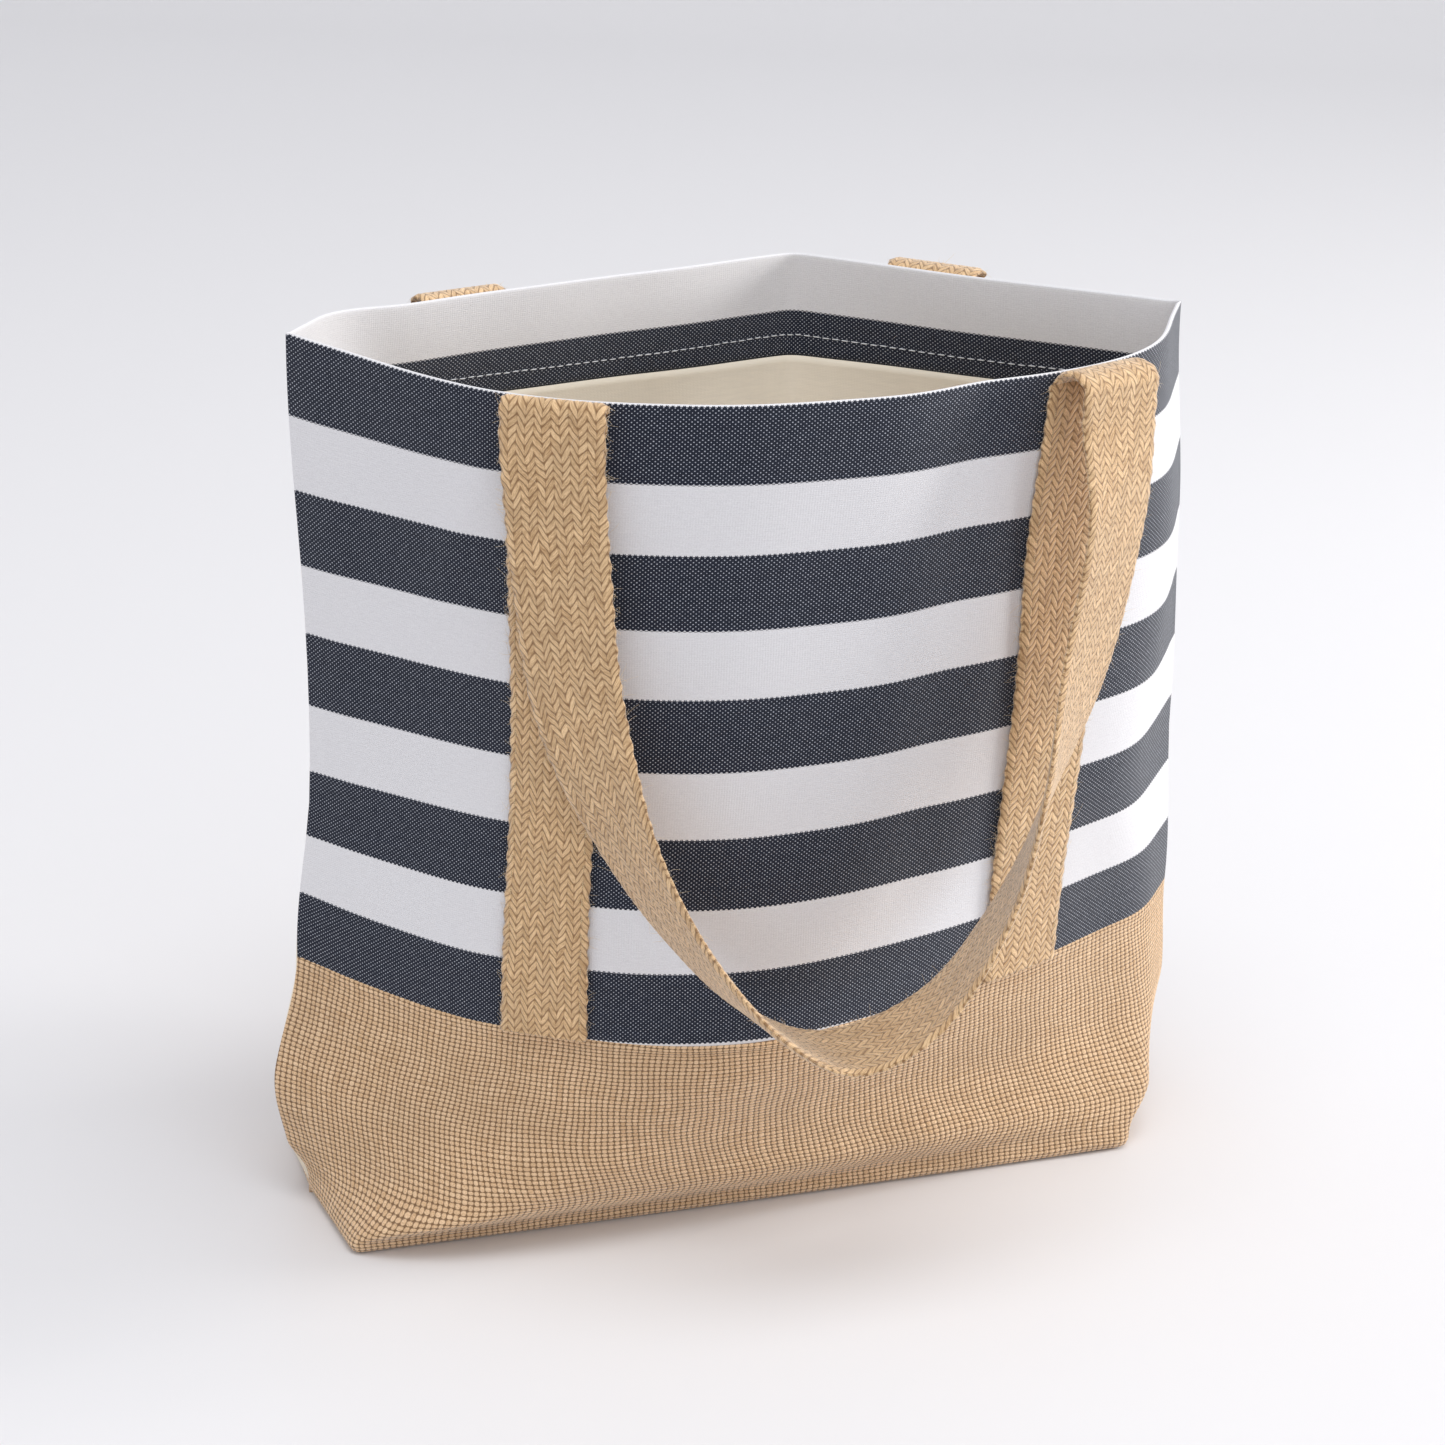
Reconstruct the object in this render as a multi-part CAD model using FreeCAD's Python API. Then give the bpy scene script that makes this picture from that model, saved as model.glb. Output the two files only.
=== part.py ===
import FreeCAD, Part
import math
import os

# A lined beach bag: a striped canvas body on a coarse jute base, with two braided jute handles.
# Millimetres. +X runs to the bag's right, +Y to its back, +Z up. The origin is the middle of the
# base where it rests on the floor.

Vector = FreeCAD.Vector

# ---- Driving dimensions ------------------------------------------------------------------------
BAG_HEIGHT = 361.0          # floor to rim
FLAT_WIDTH = 462.0          # cloth from one side seam to the other
BASE_HEIGHT = 97.5          # jute, floor to its seam with the canvas
HEM_DEPTH = 44.0            # canvas turned in at the rim
SEAM_GAP = 0.3              # half the gap left where two cloth pieces meet

CANVAS = 0.9                # cloth thicknesses
JUTE = 1.5
LINING = 0.5
HEM_OUTER = 1.2             # how deep inside the outer surface the turned-in hem starts
POCKET_OUTER = 2.0          # depth of the seam allowances that lie between shell and lining
ALLOWANCE = 1.2             # two pressed layers of seam allowance
LINING_TOP_OUTER = 1.6      # depth of the lining at its top edge
LINING_OUTER = 4.0          # depth of the lining lower down, clear of the allowances
LINING_FLOOR = 3.4          # height of the lining's underside
ALLOWANCE_WIDTH = 11.0
SEAM_BOTTOM = 30.0          # the side allowances run from just above the boxed corners
SEAM_TOP = 280.0

WEBBING_WIDTH = 40.0
WEBBING = 3.0               # webbing thickness
WEBBING_LIFT = 0.5          # air between webbing and cloth
FRONT_STRAPS = (-107.5, 117.5)      # cloth coordinate of each strap's centre line
BACK_STRAPS = (-106.0, 122.0)

STITCH_LENGTH = 3.0
THREAD = 0.4
HEM_STITCH_PITCH = 4.4
HEM_STITCH_DEPTH = 36.0     # below the rim
STRAP_STITCH_PITCH = 7.5
STRAP_STITCH_INSET = 3.0

# ---- How the soft walls stand ------------------------------------------------------------------
# Each wall is a cloth of constant width that turns as it runs from the left side seam to the
# right one. A row holds: height; sideways shift; the left turn's degrees, place and spread along
# the cloth; the same for the right turn; an even bow in degrees; the degrees of the sharp crease.
FRONT_WALL = (
    (0.0, -10.0, 85, -176, 10, 87, 168, 11, 1, 0),
    (4.0, -10.0, 85, -176, 10, 87, 168, 11, 1, 0),
    (25.0, -2.0, 50, -129, 78, 68, 180, 17, 5, 0),
    (55.0, 3.0, 37, -75, 137, 40, 195, 28, 10, 0),
    (98.0, 6.0, 35, -32, 183, 28, 197, 37, 15, 0),
    (180.0, 6.0, 45, -36, 207, 35, 170, 43, 8, 0),
    (270.0, 2.0, 43, -46, 220, 42, 169, 74, 10, 0),
    (361.0, -5.0, 40, -68, 220, 42, 150, 97, 13, 0),
)
BACK_WALL = (
    (0.0, -10.0, 85, -176, 10, 87, 168, 11, 1, 0),
    (4.0, -10.0, 85, -176, 10, 87, 168, 11, 1, 0),
    (25.0, -2.0, 52, -145, 60, 66, 178, 20, 6, 0),
    (55.0, 3.0, 40, -110, 110, 44, 185, 40, 9, 0),
    (98.0, 6.0, 42, -90, 150, 34, 175, 60, 10, 10),
    (180.0, 6.0, 40, -100, 150, 30, 150, 60, 8, 12),
    (270.0, 2.0, 42, -130, 110, 18, 165, 60, 4, 34),
    (361.0, -5.0, 46, -171, 55, -4, 171, 55, 0, 58),
)
CREASE_PLACE = 60.0
CREASE_SPREAD = 18.0
CREASE_LEAN = 0.25          # share of the crease's turn already taken before it
BOW_REACH = 150.0
FINE = 240                  # steps used to trace a wall line
ACROSS = 70                 # spans across a finished wall surface
LEVELS = [6, 9, 12, 16, 20] + list(range(25, 360, 10))      # heights of a surface's rows

# ---- How a handle hangs ------------------------------------------------------------------------
# Each strap folds outwards over the rim, and the loop between its two ends hangs down.
# The front loop's centre line below its ends, from left to right: x, y, z and the compass turn of
# its width, in degrees from +X.
HANDLE_PATH = (
    (-111.0, -89.0, 298.0, -39),
    (-104.0, -93.0, 243.0, -47),
    (-90.0, -108.0, 195.0, -62),
    (-68.0, -123.0, 154.0, -68),
    (-39.0, -132.0, 121.0, -75),
    (-5.0, -132.0, 104.0, -90),
    (32.0, -133.0, 119.0, -105),
    (62.0, -128.0, 156.0, -112),
    (83.0, -118.0, 200.0, -124),
    (99.0, -110.0, 250.0, -145),
    (108.0, -108.0, 305.0, -149),
)
STAND_OFF = {"front": (9.0, 18.0), "back": (12.0, 16.0)}     # wall to hanging webbing, at each end
CREST_RISE = 3.0            # least height of a fold's crest above the rim
CREST_GAP = 12              # degrees of the fold between the sewn strap and the free loop
LOOP_DROP = 13.0            # the loop hangs straight down to this far below the rim
BACK_SQUEEZE = 0.96         # the back handle mirrors the front one, a little narrower
BACK_SHIFT_X = 4.0
BACK_SKEW = 0.07            # it stands further off the wall towards the left


# ---- Cloth lines -------------------------------------------------------------------------------
def smooth_step(value):
    value = min(max(value, 0.0), 1.0)
    return value * value * (3.0 - 2.0 * value)


def slope_between(low, high, column):
    return (high[column] - low[column]) / (high[0] - low[0])


def slope_at(table, index, column):
    """The slope of a column at one of its rows: none at an end or at a turning point."""
    if index in (0, len(table) - 1):
        return 0.0
    below = slope_between(table[index - 1], table[index], column)
    above = slope_between(table[index], table[index + 1], column)
    if below * above <= 0:
        return 0.0
    return 2 * below * above / (below + above)


def row_at(table, height):
    """The wall's row at any height, in a smooth curve through the table's rows."""
    height = min(max(height, table[0][0]), table[-1][0])
    index = 0
    while height > table[index + 1][0]:
        index += 1
    low = table[index]
    high = table[index + 1]
    span = high[0] - low[0]
    t = (height - low[0]) / span
    row = []
    for column in range(len(low)):
        start = slope_at(table, index, column) * span
        end = slope_at(table, index + 1, column) * span
        rise = high[column] - low[column]
        row.append(low[column] + t * start + t ** 2 * (3 * rise - 2 * start - end)
                   + t ** 3 * (start + end - 2 * rise))
    return row


def trace(table, height):
    """(x, y) points of a wall at one height, from left seam to right seam, bulging to -Y."""
    _, shift, left, left_at, left_w, right, right_at, right_w, bow, crease = row_at(table, height)
    step = FLAT_WIDTH / FINE
    points = [(0.0, 0.0)]
    for index in range(FINE):
        place = -FLAT_WIDTH / 2 + (index + 0.5) * step
        degrees = -left * (1 - smooth_step((place - left_at) / left_w + 0.5))
        degrees += right * smooth_step((place - right_at) / right_w + 0.5)
        degrees += bow * min(max(place / BOW_REACH, -1), 1)
        past = smooth_step((place - CREASE_PLACE) / CREASE_SPREAD + 0.5)
        degrees += crease * (past - CREASE_LEAN)
        x, y = points[-1]
        angle = math.radians(degrees)
        points.append((x + step * math.cos(angle), y + step * math.sin(angle)))
    end_x, end_y = points[-1]
    line = []
    for index, (x, y) in enumerate(points):
        line.append((x - end_x / 2 + shift, y - end_y * index / FINE))
    return line


def wall_line(side, height):
    """A wall's outer line. The back wall is stretched to share the front wall's seam places."""
    front = trace(FRONT_WALL, height)
    if side == "front":
        return front
    back = trace(BACK_WALL, height)
    scale = (front[-1][0] - front[0][0]) / (back[-1][0] - back[0][0])
    return [(front[0][0] + (x - back[0][0]) * scale, -y) for x, y in back]


def normals(side, line):
    """Unit normals of a wall line that point into the bag."""
    sign = 1.0 if side == "front" else -1.0
    result = []
    for index in range(len(line)):
        before = line[max(index - 1, 0)]
        after = line[min(index + 1, len(line) - 1)]
        dx = after[0] - before[0]
        dy = after[1] - before[1]
        length = math.hypot(dx, dy)
        result.append((-sign * dy / length, sign * dx / length))
    return result


def offset_line(side, height, depth):
    """The wall line moved into the bag by depth, or out of it where depth is negative."""
    line = wall_line(side, height)
    moved = []
    for (x, y), (nx, ny) in zip(line, normals(side, line)):
        moved.append((x + nx * depth, y + ny * depth))
    return moved


def trimmed(side, line, gap):
    """The stretch of a line that stays on its own side of the seam plane, cut exactly at gap."""
    sign = -1.0 if side == "front" else 1.0
    inside = [index for index, (_, y) in enumerate(line) if y * sign > gap]
    first = inside[0]
    last = inside[-1]

    def crossing(a, b):
        share = (gap - a[1] * sign) / (b[1] * sign - a[1] * sign)
        return (a[0] + (b[0] - a[0]) * share, gap * sign)

    start = crossing(line[first - 1], line[first]) if first > 0 else line[0]
    end = crossing(line[last + 1], line[last]) if last < len(line) - 1 else line[-1]
    return [start] + line[first:last + 1] + [end]


def resample(line, count):
    """count + 1 points spread evenly along a line."""
    lengths = [0.0]
    for a, b in zip(line, line[1:]):
        lengths.append(lengths[-1] + math.hypot(b[0] - a[0], b[1] - a[1]))
    result = []
    index = 0
    for number in range(count + 1):
        target = lengths[-1] * number / count
        while index < len(line) - 2 and lengths[index + 1] < target:
            index += 1
        span = lengths[index + 1] - lengths[index]
        share = (target - lengths[index]) / span if span > 0 else 0.0
        a = line[index]
        b = line[index + 1]
        result.append((a[0] + (b[0] - a[0]) * share, a[1] + (b[1] - a[1]) * share))
    return result


def cloth_point(side, place, height, depth):
    """The point at a cloth coordinate, counted from the middle of the wall."""
    line = offset_line(side, height, depth)
    position = (place + FLAT_WIDTH / 2) / FLAT_WIDTH * FINE
    index = min(max(int(position), 0), FINE - 1)
    share = position - index
    a = line[index]
    b = line[index + 1]
    return Vector(a[0] + (b[0] - a[0]) * share, a[1] + (b[1] - a[1]) * share, height)


# ---- Solids ------------------------------------------------------------------------------------
def spaced(low, high, count):
    return [low + (high - low) * index / count for index in range(count + 1)]


def levels(low, high):
    """Row heights for a surface between two heights."""
    return [low] + [level for level in LEVELS if low + 2 < level < high - 2] + [high]


def spline_surface(grid):
    surface = Part.BSplineSurface()
    surface.interpolate(grid)
    return surface


def solid_between(outer_grid, inner_grid):
    """A closed solid between two surfaces with matching grids, with ruled faces round the edge."""
    outer = spline_surface(outer_grid)
    inner = spline_surface(inner_grid)
    faces = [outer.toShape(), inner.toShape()]
    u0, u1, v0, v1 = outer.bounds()
    a0, a1, b0, b1 = inner.bounds()
    for outer_at, inner_at in ((u0, a0), (u1, a1)):
        edge = outer.uIso(outer_at).toShape()
        faces.append(Part.makeRuledSurface(edge, inner.uIso(inner_at).toShape()))
    for outer_at, inner_at in ((v0, b0), (v1, b1)):
        edge = outer.vIso(outer_at).toShape()
        faces.append(Part.makeRuledSurface(edge, inner.vIso(inner_at).toShape()))
    shell = Part.makeShell(faces)
    shell.sewShape()
    solid = Part.makeSolid(Part.Shell(shell.Faces))
    if solid.Volume < 0:
        solid.reverse()
    return solid


def wall_grid(side, heights, depth_at):
    """Rows of points on a wall, trimmed to its own side of the side seams."""
    grid = []
    for height in heights:
        line = trimmed(side, offset_line(side, height, depth_at(height)), SEAM_GAP)
        grid.append([Vector(x, y, height) for x, y in resample(line, ACROSS)])
    return grid


def wall_solid(side, heights, depth_at, thickness):
    outer = wall_grid(side, heights, depth_at)
    inner = wall_grid(side, heights, lambda height: depth_at(height) + thickness)
    return solid_between(outer, inner)


def patch_solid(side, places, heights, depth, thickness):
    """A strip of cloth laid on a wall, between given cloth coordinates and heights."""
    outer = []
    inner = []
    for height in heights:
        outer.append([cloth_point(side, place, height, depth) for place in places])
        inner.append([cloth_point(side, place, height, depth + thickness) for place in places])
    return solid_between(outer, inner)


def box(low, high):
    size = Vector(*high) - Vector(*low)
    return Part.makeBox(size.x, size.y, size.z, Vector(*low))


def floor_plate(depth, low, thickness, sides):
    """A flat floor whose edge runs at a depth inside the base outline, for one side or both."""
    points = {}
    for side in sides:
        line = trimmed(side, offset_line(side, low, depth), SEAM_GAP)
        points[side] = [Vector(x, y, low) for x, y in resample(line, ACROSS)]
    edges = []
    for side in sides:
        curve = Part.BSplineCurve()
        curve.interpolate(points[side])
        edges.append(curve.toShape())
    if len(sides) == 2:
        front, back = (points[side] for side in sides)
        edges.insert(1, Part.makeLine(front[-1], back[-1]))
        edges.append(Part.makeLine(back[0], front[0]))
    else:
        line = points[sides[0]]
        edges.append(Part.makeLine(line[-1], line[0]))
    wire = Part.Wire(Part.__sortEdges__(edges))
    return Part.Face(wire).extrude(Vector(0, 0, thickness))


# ---- Cloth pieces ------------------------------------------------------------------------------
def edges_of(surface):
    """A surface's bottom, top, left and right edges."""
    u0, u1, v0, v1 = surface.bounds()
    return (surface.uIso(u0).toShape(), surface.uIso(u1).toShape(),
            surface.vIso(v0).toShape(), surface.vIso(v1).toShape())


def make_panel(side):
    """Striped canvas from the jute seam to the rim, folded over and turned in as a hem."""
    bottom = BASE_HEIGHT + 2 * SEAM_GAP
    hem_bottom = BAG_HEIGHT - HEM_DEPTH
    under_fold = BAG_HEIGHT - CANVAS
    skins = []
    for depth, low, high in ((0.0, bottom, BAG_HEIGHT),
                             (HEM_OUTER + CANVAS, hem_bottom, BAG_HEIGHT),
                             (HEM_OUTER, hem_bottom, under_fold),
                             (CANVAS, bottom, under_fold)):
        grid = wall_grid(side, levels(low, high), lambda height: depth)
        skins.append(spline_surface(grid))
    outer, hem_inner, hem_outer, wall_inner = (edges_of(skin) for skin in skins)
    closings = ((outer[1], hem_inner[1]), (hem_inner[0], hem_outer[0]),
                (hem_outer[1], wall_inner[1]), (wall_inner[0], outer[0]))
    faces = [skin.toShape() for skin in skins]
    faces += [Part.makeRuledSurface(*pair) for pair in closings]
    for end in (2, 3):
        rim = [ring[end] for ring in (outer, hem_inner, hem_outer, wall_inner)]
        vertex = 0 if end == 2 else -1
        for pair in closings:
            first, second = (edge.Vertexes[vertex].Point for edge in pair)
            rim.append(Part.makeLine(first, second))
        faces.append(Part.Face(Part.Wire(Part.__sortEdges__(rim))))
    shell = Part.makeShell(faces)
    shell.sewShape()
    solid = Part.makeSolid(Part.Shell(shell.Faces))
    if solid.Volume < 0:
        solid.reverse()
    return solid


def make_base():
    """One piece of jute that makes the lower front, the floor and the lower back."""
    heights = spaced(0.2, BASE_HEIGHT, 16)
    walls = [wall_solid(side, heights, lambda height: 0.0, JUTE) for side in ("front", "back")]
    floor = floor_plate(JUTE / 2, 0.0, JUTE, ("front", "back"))
    return floor.fuse(walls)


def lining_depth(height):
    """The lining lies close behind the hem and hangs freer below it."""
    below = BAG_HEIGHT - HEM_DEPTH - height
    return LINING_TOP_OUTER + (LINING_OUTER - LINING_TOP_OUTER) * smooth_step(below / 35.0)


def make_lining(side):
    """Plain lining from the hem's lower edge down the wall, and half of the lining's floor."""
    top = BAG_HEIGHT - HEM_DEPTH - 2 * SEAM_GAP
    wall = wall_solid(side, levels(LINING_FLOOR + 0.1, top), lining_depth, LINING)
    floor = floor_plate(LINING_OUTER + LINING / 2, LINING_FLOOR, LINING, (side,))
    return wall.fuse(floor)


# ---- Seam allowances ---------------------------------------------------------------------------
def seam_places(end, start):
    """Cloth coordinates of an allowance that starts a little way in from a side seam."""
    near = FLAT_WIDTH / 2 - start
    far = near - ALLOWANCE_WIDTH
    return [end * place for place in spaced(far, near, 4)]


def make_side_seam(end):
    """The shell's side seam allowance, pressed towards the back."""
    heights = levels(SEAM_BOTTOM, SEAM_TOP)
    return patch_solid("back", seam_places(end, 6.0), heights, POCKET_OUTER, ALLOWANCE)


def make_lining_seam(end):
    """The lining's side seam allowance, pressed towards the front."""
    heights = levels(SEAM_BOTTOM, SEAM_TOP - 5.0)
    return patch_solid("front", seam_places(end, 8.0), heights, POCKET_OUTER + 0.2, 2 * LINING)


def make_base_seam(side):
    """The allowance of the seam between canvas and jute, pressed down behind the jute."""
    reach = FLAT_WIDTH / 2 - 26.0
    heights = spaced(BASE_HEIGHT - ALLOWANCE_WIDTH, BASE_HEIGHT - 1.0, 3)
    return patch_solid(side, spaced(-reach, reach, ACROSS), heights, POCKET_OUTER, ALLOWANCE)


def make_corner_seam(end):
    """The allowance of a boxed corner, lying flat on the jute floor across one end."""
    outline = wall_line("front", 0.0)
    end_x = outline[0][0] if end < 0 else outline[-1][0]
    near = end_x - end * 6.0
    far = near - end * ALLOWANCE_WIDTH
    low = JUTE + 0.2
    half = 46.0
    return box((min(near, far), -half, low), (max(near, far), half, low + ALLOWANCE))


def make_lining_floor_seam():
    """The allowance that joins the lining's two floor halves, under the lining."""
    half = 140.0
    low = JUTE + 0.2
    return box((-half, -ALLOWANCE_WIDTH / 2, low), (half, ALLOWANCE_WIDTH / 2, low + 2 * LINING))


# ---- Handles -----------------------------------------------------------------------------------
def catmull_rom(rows, steps):
    """A smooth run of rows through the given ones."""
    result = []
    for index in range(len(rows) - 1):
        a = rows[max(index - 1, 0)]
        b = rows[index]
        c = rows[index + 1]
        d = rows[min(index + 2, len(rows) - 1)]
        for step in range(steps):
            t = step / steps
            result.append([
                0.5 * (2 * q + (r - p) * t + (2 * p - 5 * q + 4 * r - s) * t ** 2
                       + (3 * q - p - 3 * r + s) * t ** 3)
                for p, q, r, s in zip(a, b, c, d)
            ])
    result.append(list(rows[-1]))
    return result


def strap_section(side, place, height, depth):
    """Points across a strap that lies on the wall, from its left edge to its right one."""
    reach = WEBBING_WIDTH / 2
    return [cloth_point(side, place + across, height, depth)
            for across in spaced(-reach, reach, 4)]


def strap_at_rim(side, place):
    """Centre of a strap at the rim, its width direction to the right, and the way out."""
    section = strap_section(side, place, BAG_HEIGHT, -WEBBING_LIFT - WEBBING / 2)
    width = (section[-1] - section[0]).normalize()
    outward = width.cross(Vector(0, 0, 1 if side == "front" else -1))
    return section[2], width, outward


def fold_frames(side, place, stand_off, angles):
    """Centre, width and outer normal of the webbing at angles round its fold, 0 at the wall."""
    start, width, outward = strap_at_rim(side, place)
    half_out = (stand_off - WEBBING_LIFT - WEBBING / 2) / 2
    height = CREST_RISE + half_out / 3
    frames = []
    for angle in (math.radians(angle) for angle in angles):
        centre = start + outward * (half_out * (1 - math.cos(angle)))
        centre += Vector(0, 0, height * math.sin(angle))
        normal = Vector(0, 0, half_out * math.sin(angle)) - outward * (height * math.cos(angle))
        frames.append((centre, width, normal.normalize()))
    return frames


def across_webbing(frames, rise):
    """Rows of points across the webbing at each frame, risen off its middle."""
    reach = WEBBING_WIDTH / 2
    return [[centre + normal * rise + width * across for across in spaced(-reach, reach, 4)]
            for centre, width, normal in frames]


def loop_end(side, place, stand_off, drop, half_turn):
    """A row of the free loop's path, hanging straight down a little way below the rim."""
    centre, width, outward = strap_at_rim(side, place)
    point = centre + outward * (stand_off - WEBBING_LIFT - WEBBING / 2)
    turn = math.degrees(math.atan2(width.y, width.x))
    return [point.x, point.y, BAG_HEIGHT - drop, turn + half_turn]


def loop_rows(side):
    """The path below the rim of one side's free loop, from its left end to its right one."""
    places = FRONT_STRAPS if side == "front" else BACK_STRAPS
    stand_off = STAND_OFF[side]
    half_turn = -180 if side == "front" else 180
    rows = [list(row) for row in HANDLE_PATH]
    if side == "back":
        rows = [[BACK_SHIFT_X + BACK_SQUEEZE * x, -y - BACK_SKEW * x, z, -turn]
                for x, y, z, turn in rows]
    drops = [LOOP_DROP * share for share in (0, 0.15, 0.45, 1)]
    left = [loop_end(side, places[0], stand_off[0], drop, 0) for drop in drops]
    right = [loop_end(side, places[1], stand_off[1], drop, half_turn) for drop in drops]
    return left[:-1] + catmull_rom([left[-1]] + rows + [right[-1]], 2) + right[-2::-1]


def ribbon_frames(rows):
    """Centre, width direction and face normal at each row of a ribbon."""
    centres = [Vector(*row[:3]) for row in rows]
    frames = []
    for index, row in enumerate(rows):
        before = centres[max(index - 1, 0)]
        after = centres[min(index + 1, len(rows) - 1)]
        along = (after - before).normalize()
        turn = math.radians(row[3])
        width = Vector(math.cos(turn), math.sin(turn), 0)
        width = (width - along * width.dot(along)).normalize()
        frames.append((centres[index], width, along.cross(width)))
    return frames


def ribbon_solid(frames):
    """Webbing through the given frames, straight across, with square ends."""
    along = [0.0]
    for before, after in zip(frames, frames[1:]):
        along.append(along[-1] + (after[0] - before[0]).Length)
    reach = WEBBING_WIDTH / 2
    rise = WEBBING / 2
    edges = []
    for side_share, face_share in ((-1, 1), (1, 1), (1, -1), (-1, -1)):
        points = [centre + width * (reach * side_share) + normal * (rise * face_share)
                  for centre, width, normal in frames]
        curve = Part.BSplineCurve()
        curve.interpolate(Points=points, Parameters=along)
        edges.append(curve.toShape())
    faces = [Part.makeRuledSurface(edges[index - 1], edges[index]) for index in range(4)]
    for end in (0, -1):
        corners = [edge.Vertexes[end].Point for edge in edges]
        faces.append(Part.Face(Part.makePolygon(corners + corners[:1])))
    shell = Part.makeShell(faces)
    shell.sewShape()
    solid = Part.makeSolid(Part.Shell(shell.Faces))
    if solid.Volume < 0:
        solid.reverse()
    return solid


def make_handle(side):
    """The free loop of a handle, from just past one fold's crest to just past the other's."""
    places = FRONT_STRAPS if side == "front" else BACK_STRAPS
    facing = 1 if side == "front" else -1
    angles = spaced(90 + CREST_GAP, 165, 4)
    left = [(centre, width, normal * facing) for centre, width, normal
            in fold_frames(side, places[0], STAND_OFF[side][0], angles)]
    right = [(centre, -width, normal * facing) for centre, width, normal
             in fold_frames(side, places[1], STAND_OFF[side][1], angles[::-1])]
    return ribbon_solid(left + ribbon_frames(loop_rows(side)) + right)


def make_strap(side, place, stand_off):
    """A strap end sewn flat on the wall, from the jute seam up to the crest of its fold."""
    heights = levels(BASE_HEIGHT + 1.5, BAG_HEIGHT - 1.0)
    folds = fold_frames(side, place, stand_off, spaced(15, 90, 5))
    faces = []
    for depth, rise in ((-WEBBING_LIFT, WEBBING / 2), (-WEBBING_LIFT - WEBBING, -WEBBING / 2)):
        rows = [strap_section(side, place, height, depth) for height in heights]
        faces.append(rows + across_webbing(folds, rise))
    return solid_between(*faces)


# ---- Stitching ---------------------------------------------------------------------------------
def stitch(start, end):
    """One visible stitch: a short round thread between two points."""
    along = end - start
    return Part.makeCylinder(THREAD / 2, along.Length, start, along)


def make_hem_stitching():
    """The row of stitches that holds the hem, seen on the inside of the bag."""
    height = BAG_HEIGHT - HEM_STITCH_DEPTH
    depth = HEM_OUTER + CANVAS + THREAD
    stitches = []
    for side in ("front", "back"):
        reach = FLAT_WIDTH / 2 - 8.0
        count = int(2 * reach / HEM_STITCH_PITCH)
        for number in range(count):
            place = -reach + number * HEM_STITCH_PITCH
            stitches.append(stitch(cloth_point(side, place, height, depth),
                                   cloth_point(side, place + STITCH_LENGTH, height, depth)))
    return Part.makeCompound(stitches)


def make_strap_stitching():
    """The rows of stitches along both edges of each sewn strap."""
    depth = -WEBBING_LIFT - WEBBING - THREAD
    inset = WEBBING_WIDTH / 2 - STRAP_STITCH_INSET
    low = BASE_HEIGHT + 6.0
    count = int((BAG_HEIGHT - 8.0 - low) / STRAP_STITCH_PITCH)
    stitches = []
    for side, places in (("front", FRONT_STRAPS), ("back", BACK_STRAPS)):
        for place in (centre + edge for centre in places for edge in (-inset, inset)):
            for number in range(count):
                height = low + number * STRAP_STITCH_PITCH
                stitches.append(stitch(cloth_point(side, place, height, depth),
                                       cloth_point(side, place, height + STITCH_LENGTH, depth)))
    return Part.makeCompound(stitches)


# ---- The bag -----------------------------------------------------------------------------------
def build():
    nodes = {"jute_base": make_base()}
    for side, straps in (("front", FRONT_STRAPS), ("back", BACK_STRAPS)):
        nodes[side + "_panel"] = make_panel(side)
        nodes[side + "_lining"] = make_lining(side)
        nodes[side + "_base_seam"] = make_base_seam(side)
        for end, place, stand_off in zip(("_left", "_right"), straps, STAND_OFF[side]):
            nodes[side + end + "_strap"] = make_strap(side, place, stand_off)
        nodes[side + "_handle"] = make_handle(side)
    for name, end in (("left", -1), ("right", 1)):
        nodes[name + "_side_seam"] = make_side_seam(end)
        nodes[name + "_lining_seam"] = make_lining_seam(end)
        nodes[name + "_corner_seam"] = make_corner_seam(end)
    nodes["lining_floor_seam"] = make_lining_floor_seam()
    nodes["hem_stitching"] = make_hem_stitching()
    nodes["strap_stitching"] = make_strap_stitching()
    return nodes


os.makedirs("parts", exist_ok=True)
for name, shape in build().items():
    shape.exportStep("parts/" + name + ".step")
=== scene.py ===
import math

import bpy
import numpy as np
from mathutils import Matrix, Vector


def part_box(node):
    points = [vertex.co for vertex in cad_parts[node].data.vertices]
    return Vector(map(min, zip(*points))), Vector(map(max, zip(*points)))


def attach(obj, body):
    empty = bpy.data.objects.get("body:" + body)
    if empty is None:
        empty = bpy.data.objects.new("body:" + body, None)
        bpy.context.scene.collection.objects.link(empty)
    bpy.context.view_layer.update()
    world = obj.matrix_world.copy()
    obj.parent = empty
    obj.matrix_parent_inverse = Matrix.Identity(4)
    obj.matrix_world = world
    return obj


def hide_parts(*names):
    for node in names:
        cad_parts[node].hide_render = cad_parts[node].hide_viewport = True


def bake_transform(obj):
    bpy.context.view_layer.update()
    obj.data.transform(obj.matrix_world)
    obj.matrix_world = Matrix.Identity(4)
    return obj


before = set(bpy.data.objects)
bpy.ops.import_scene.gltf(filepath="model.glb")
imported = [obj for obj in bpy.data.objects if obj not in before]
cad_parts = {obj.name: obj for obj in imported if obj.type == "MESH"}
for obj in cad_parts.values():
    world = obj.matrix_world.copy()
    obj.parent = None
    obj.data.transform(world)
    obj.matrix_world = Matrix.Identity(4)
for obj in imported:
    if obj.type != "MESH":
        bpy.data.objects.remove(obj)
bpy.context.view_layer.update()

# The visual model of a lined beach bag: striped canvas on a jute base, two braided jute handles.
# Shapes are worked out in millimetres in the CAD frame and turned to metres when a mesh is made.

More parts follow.
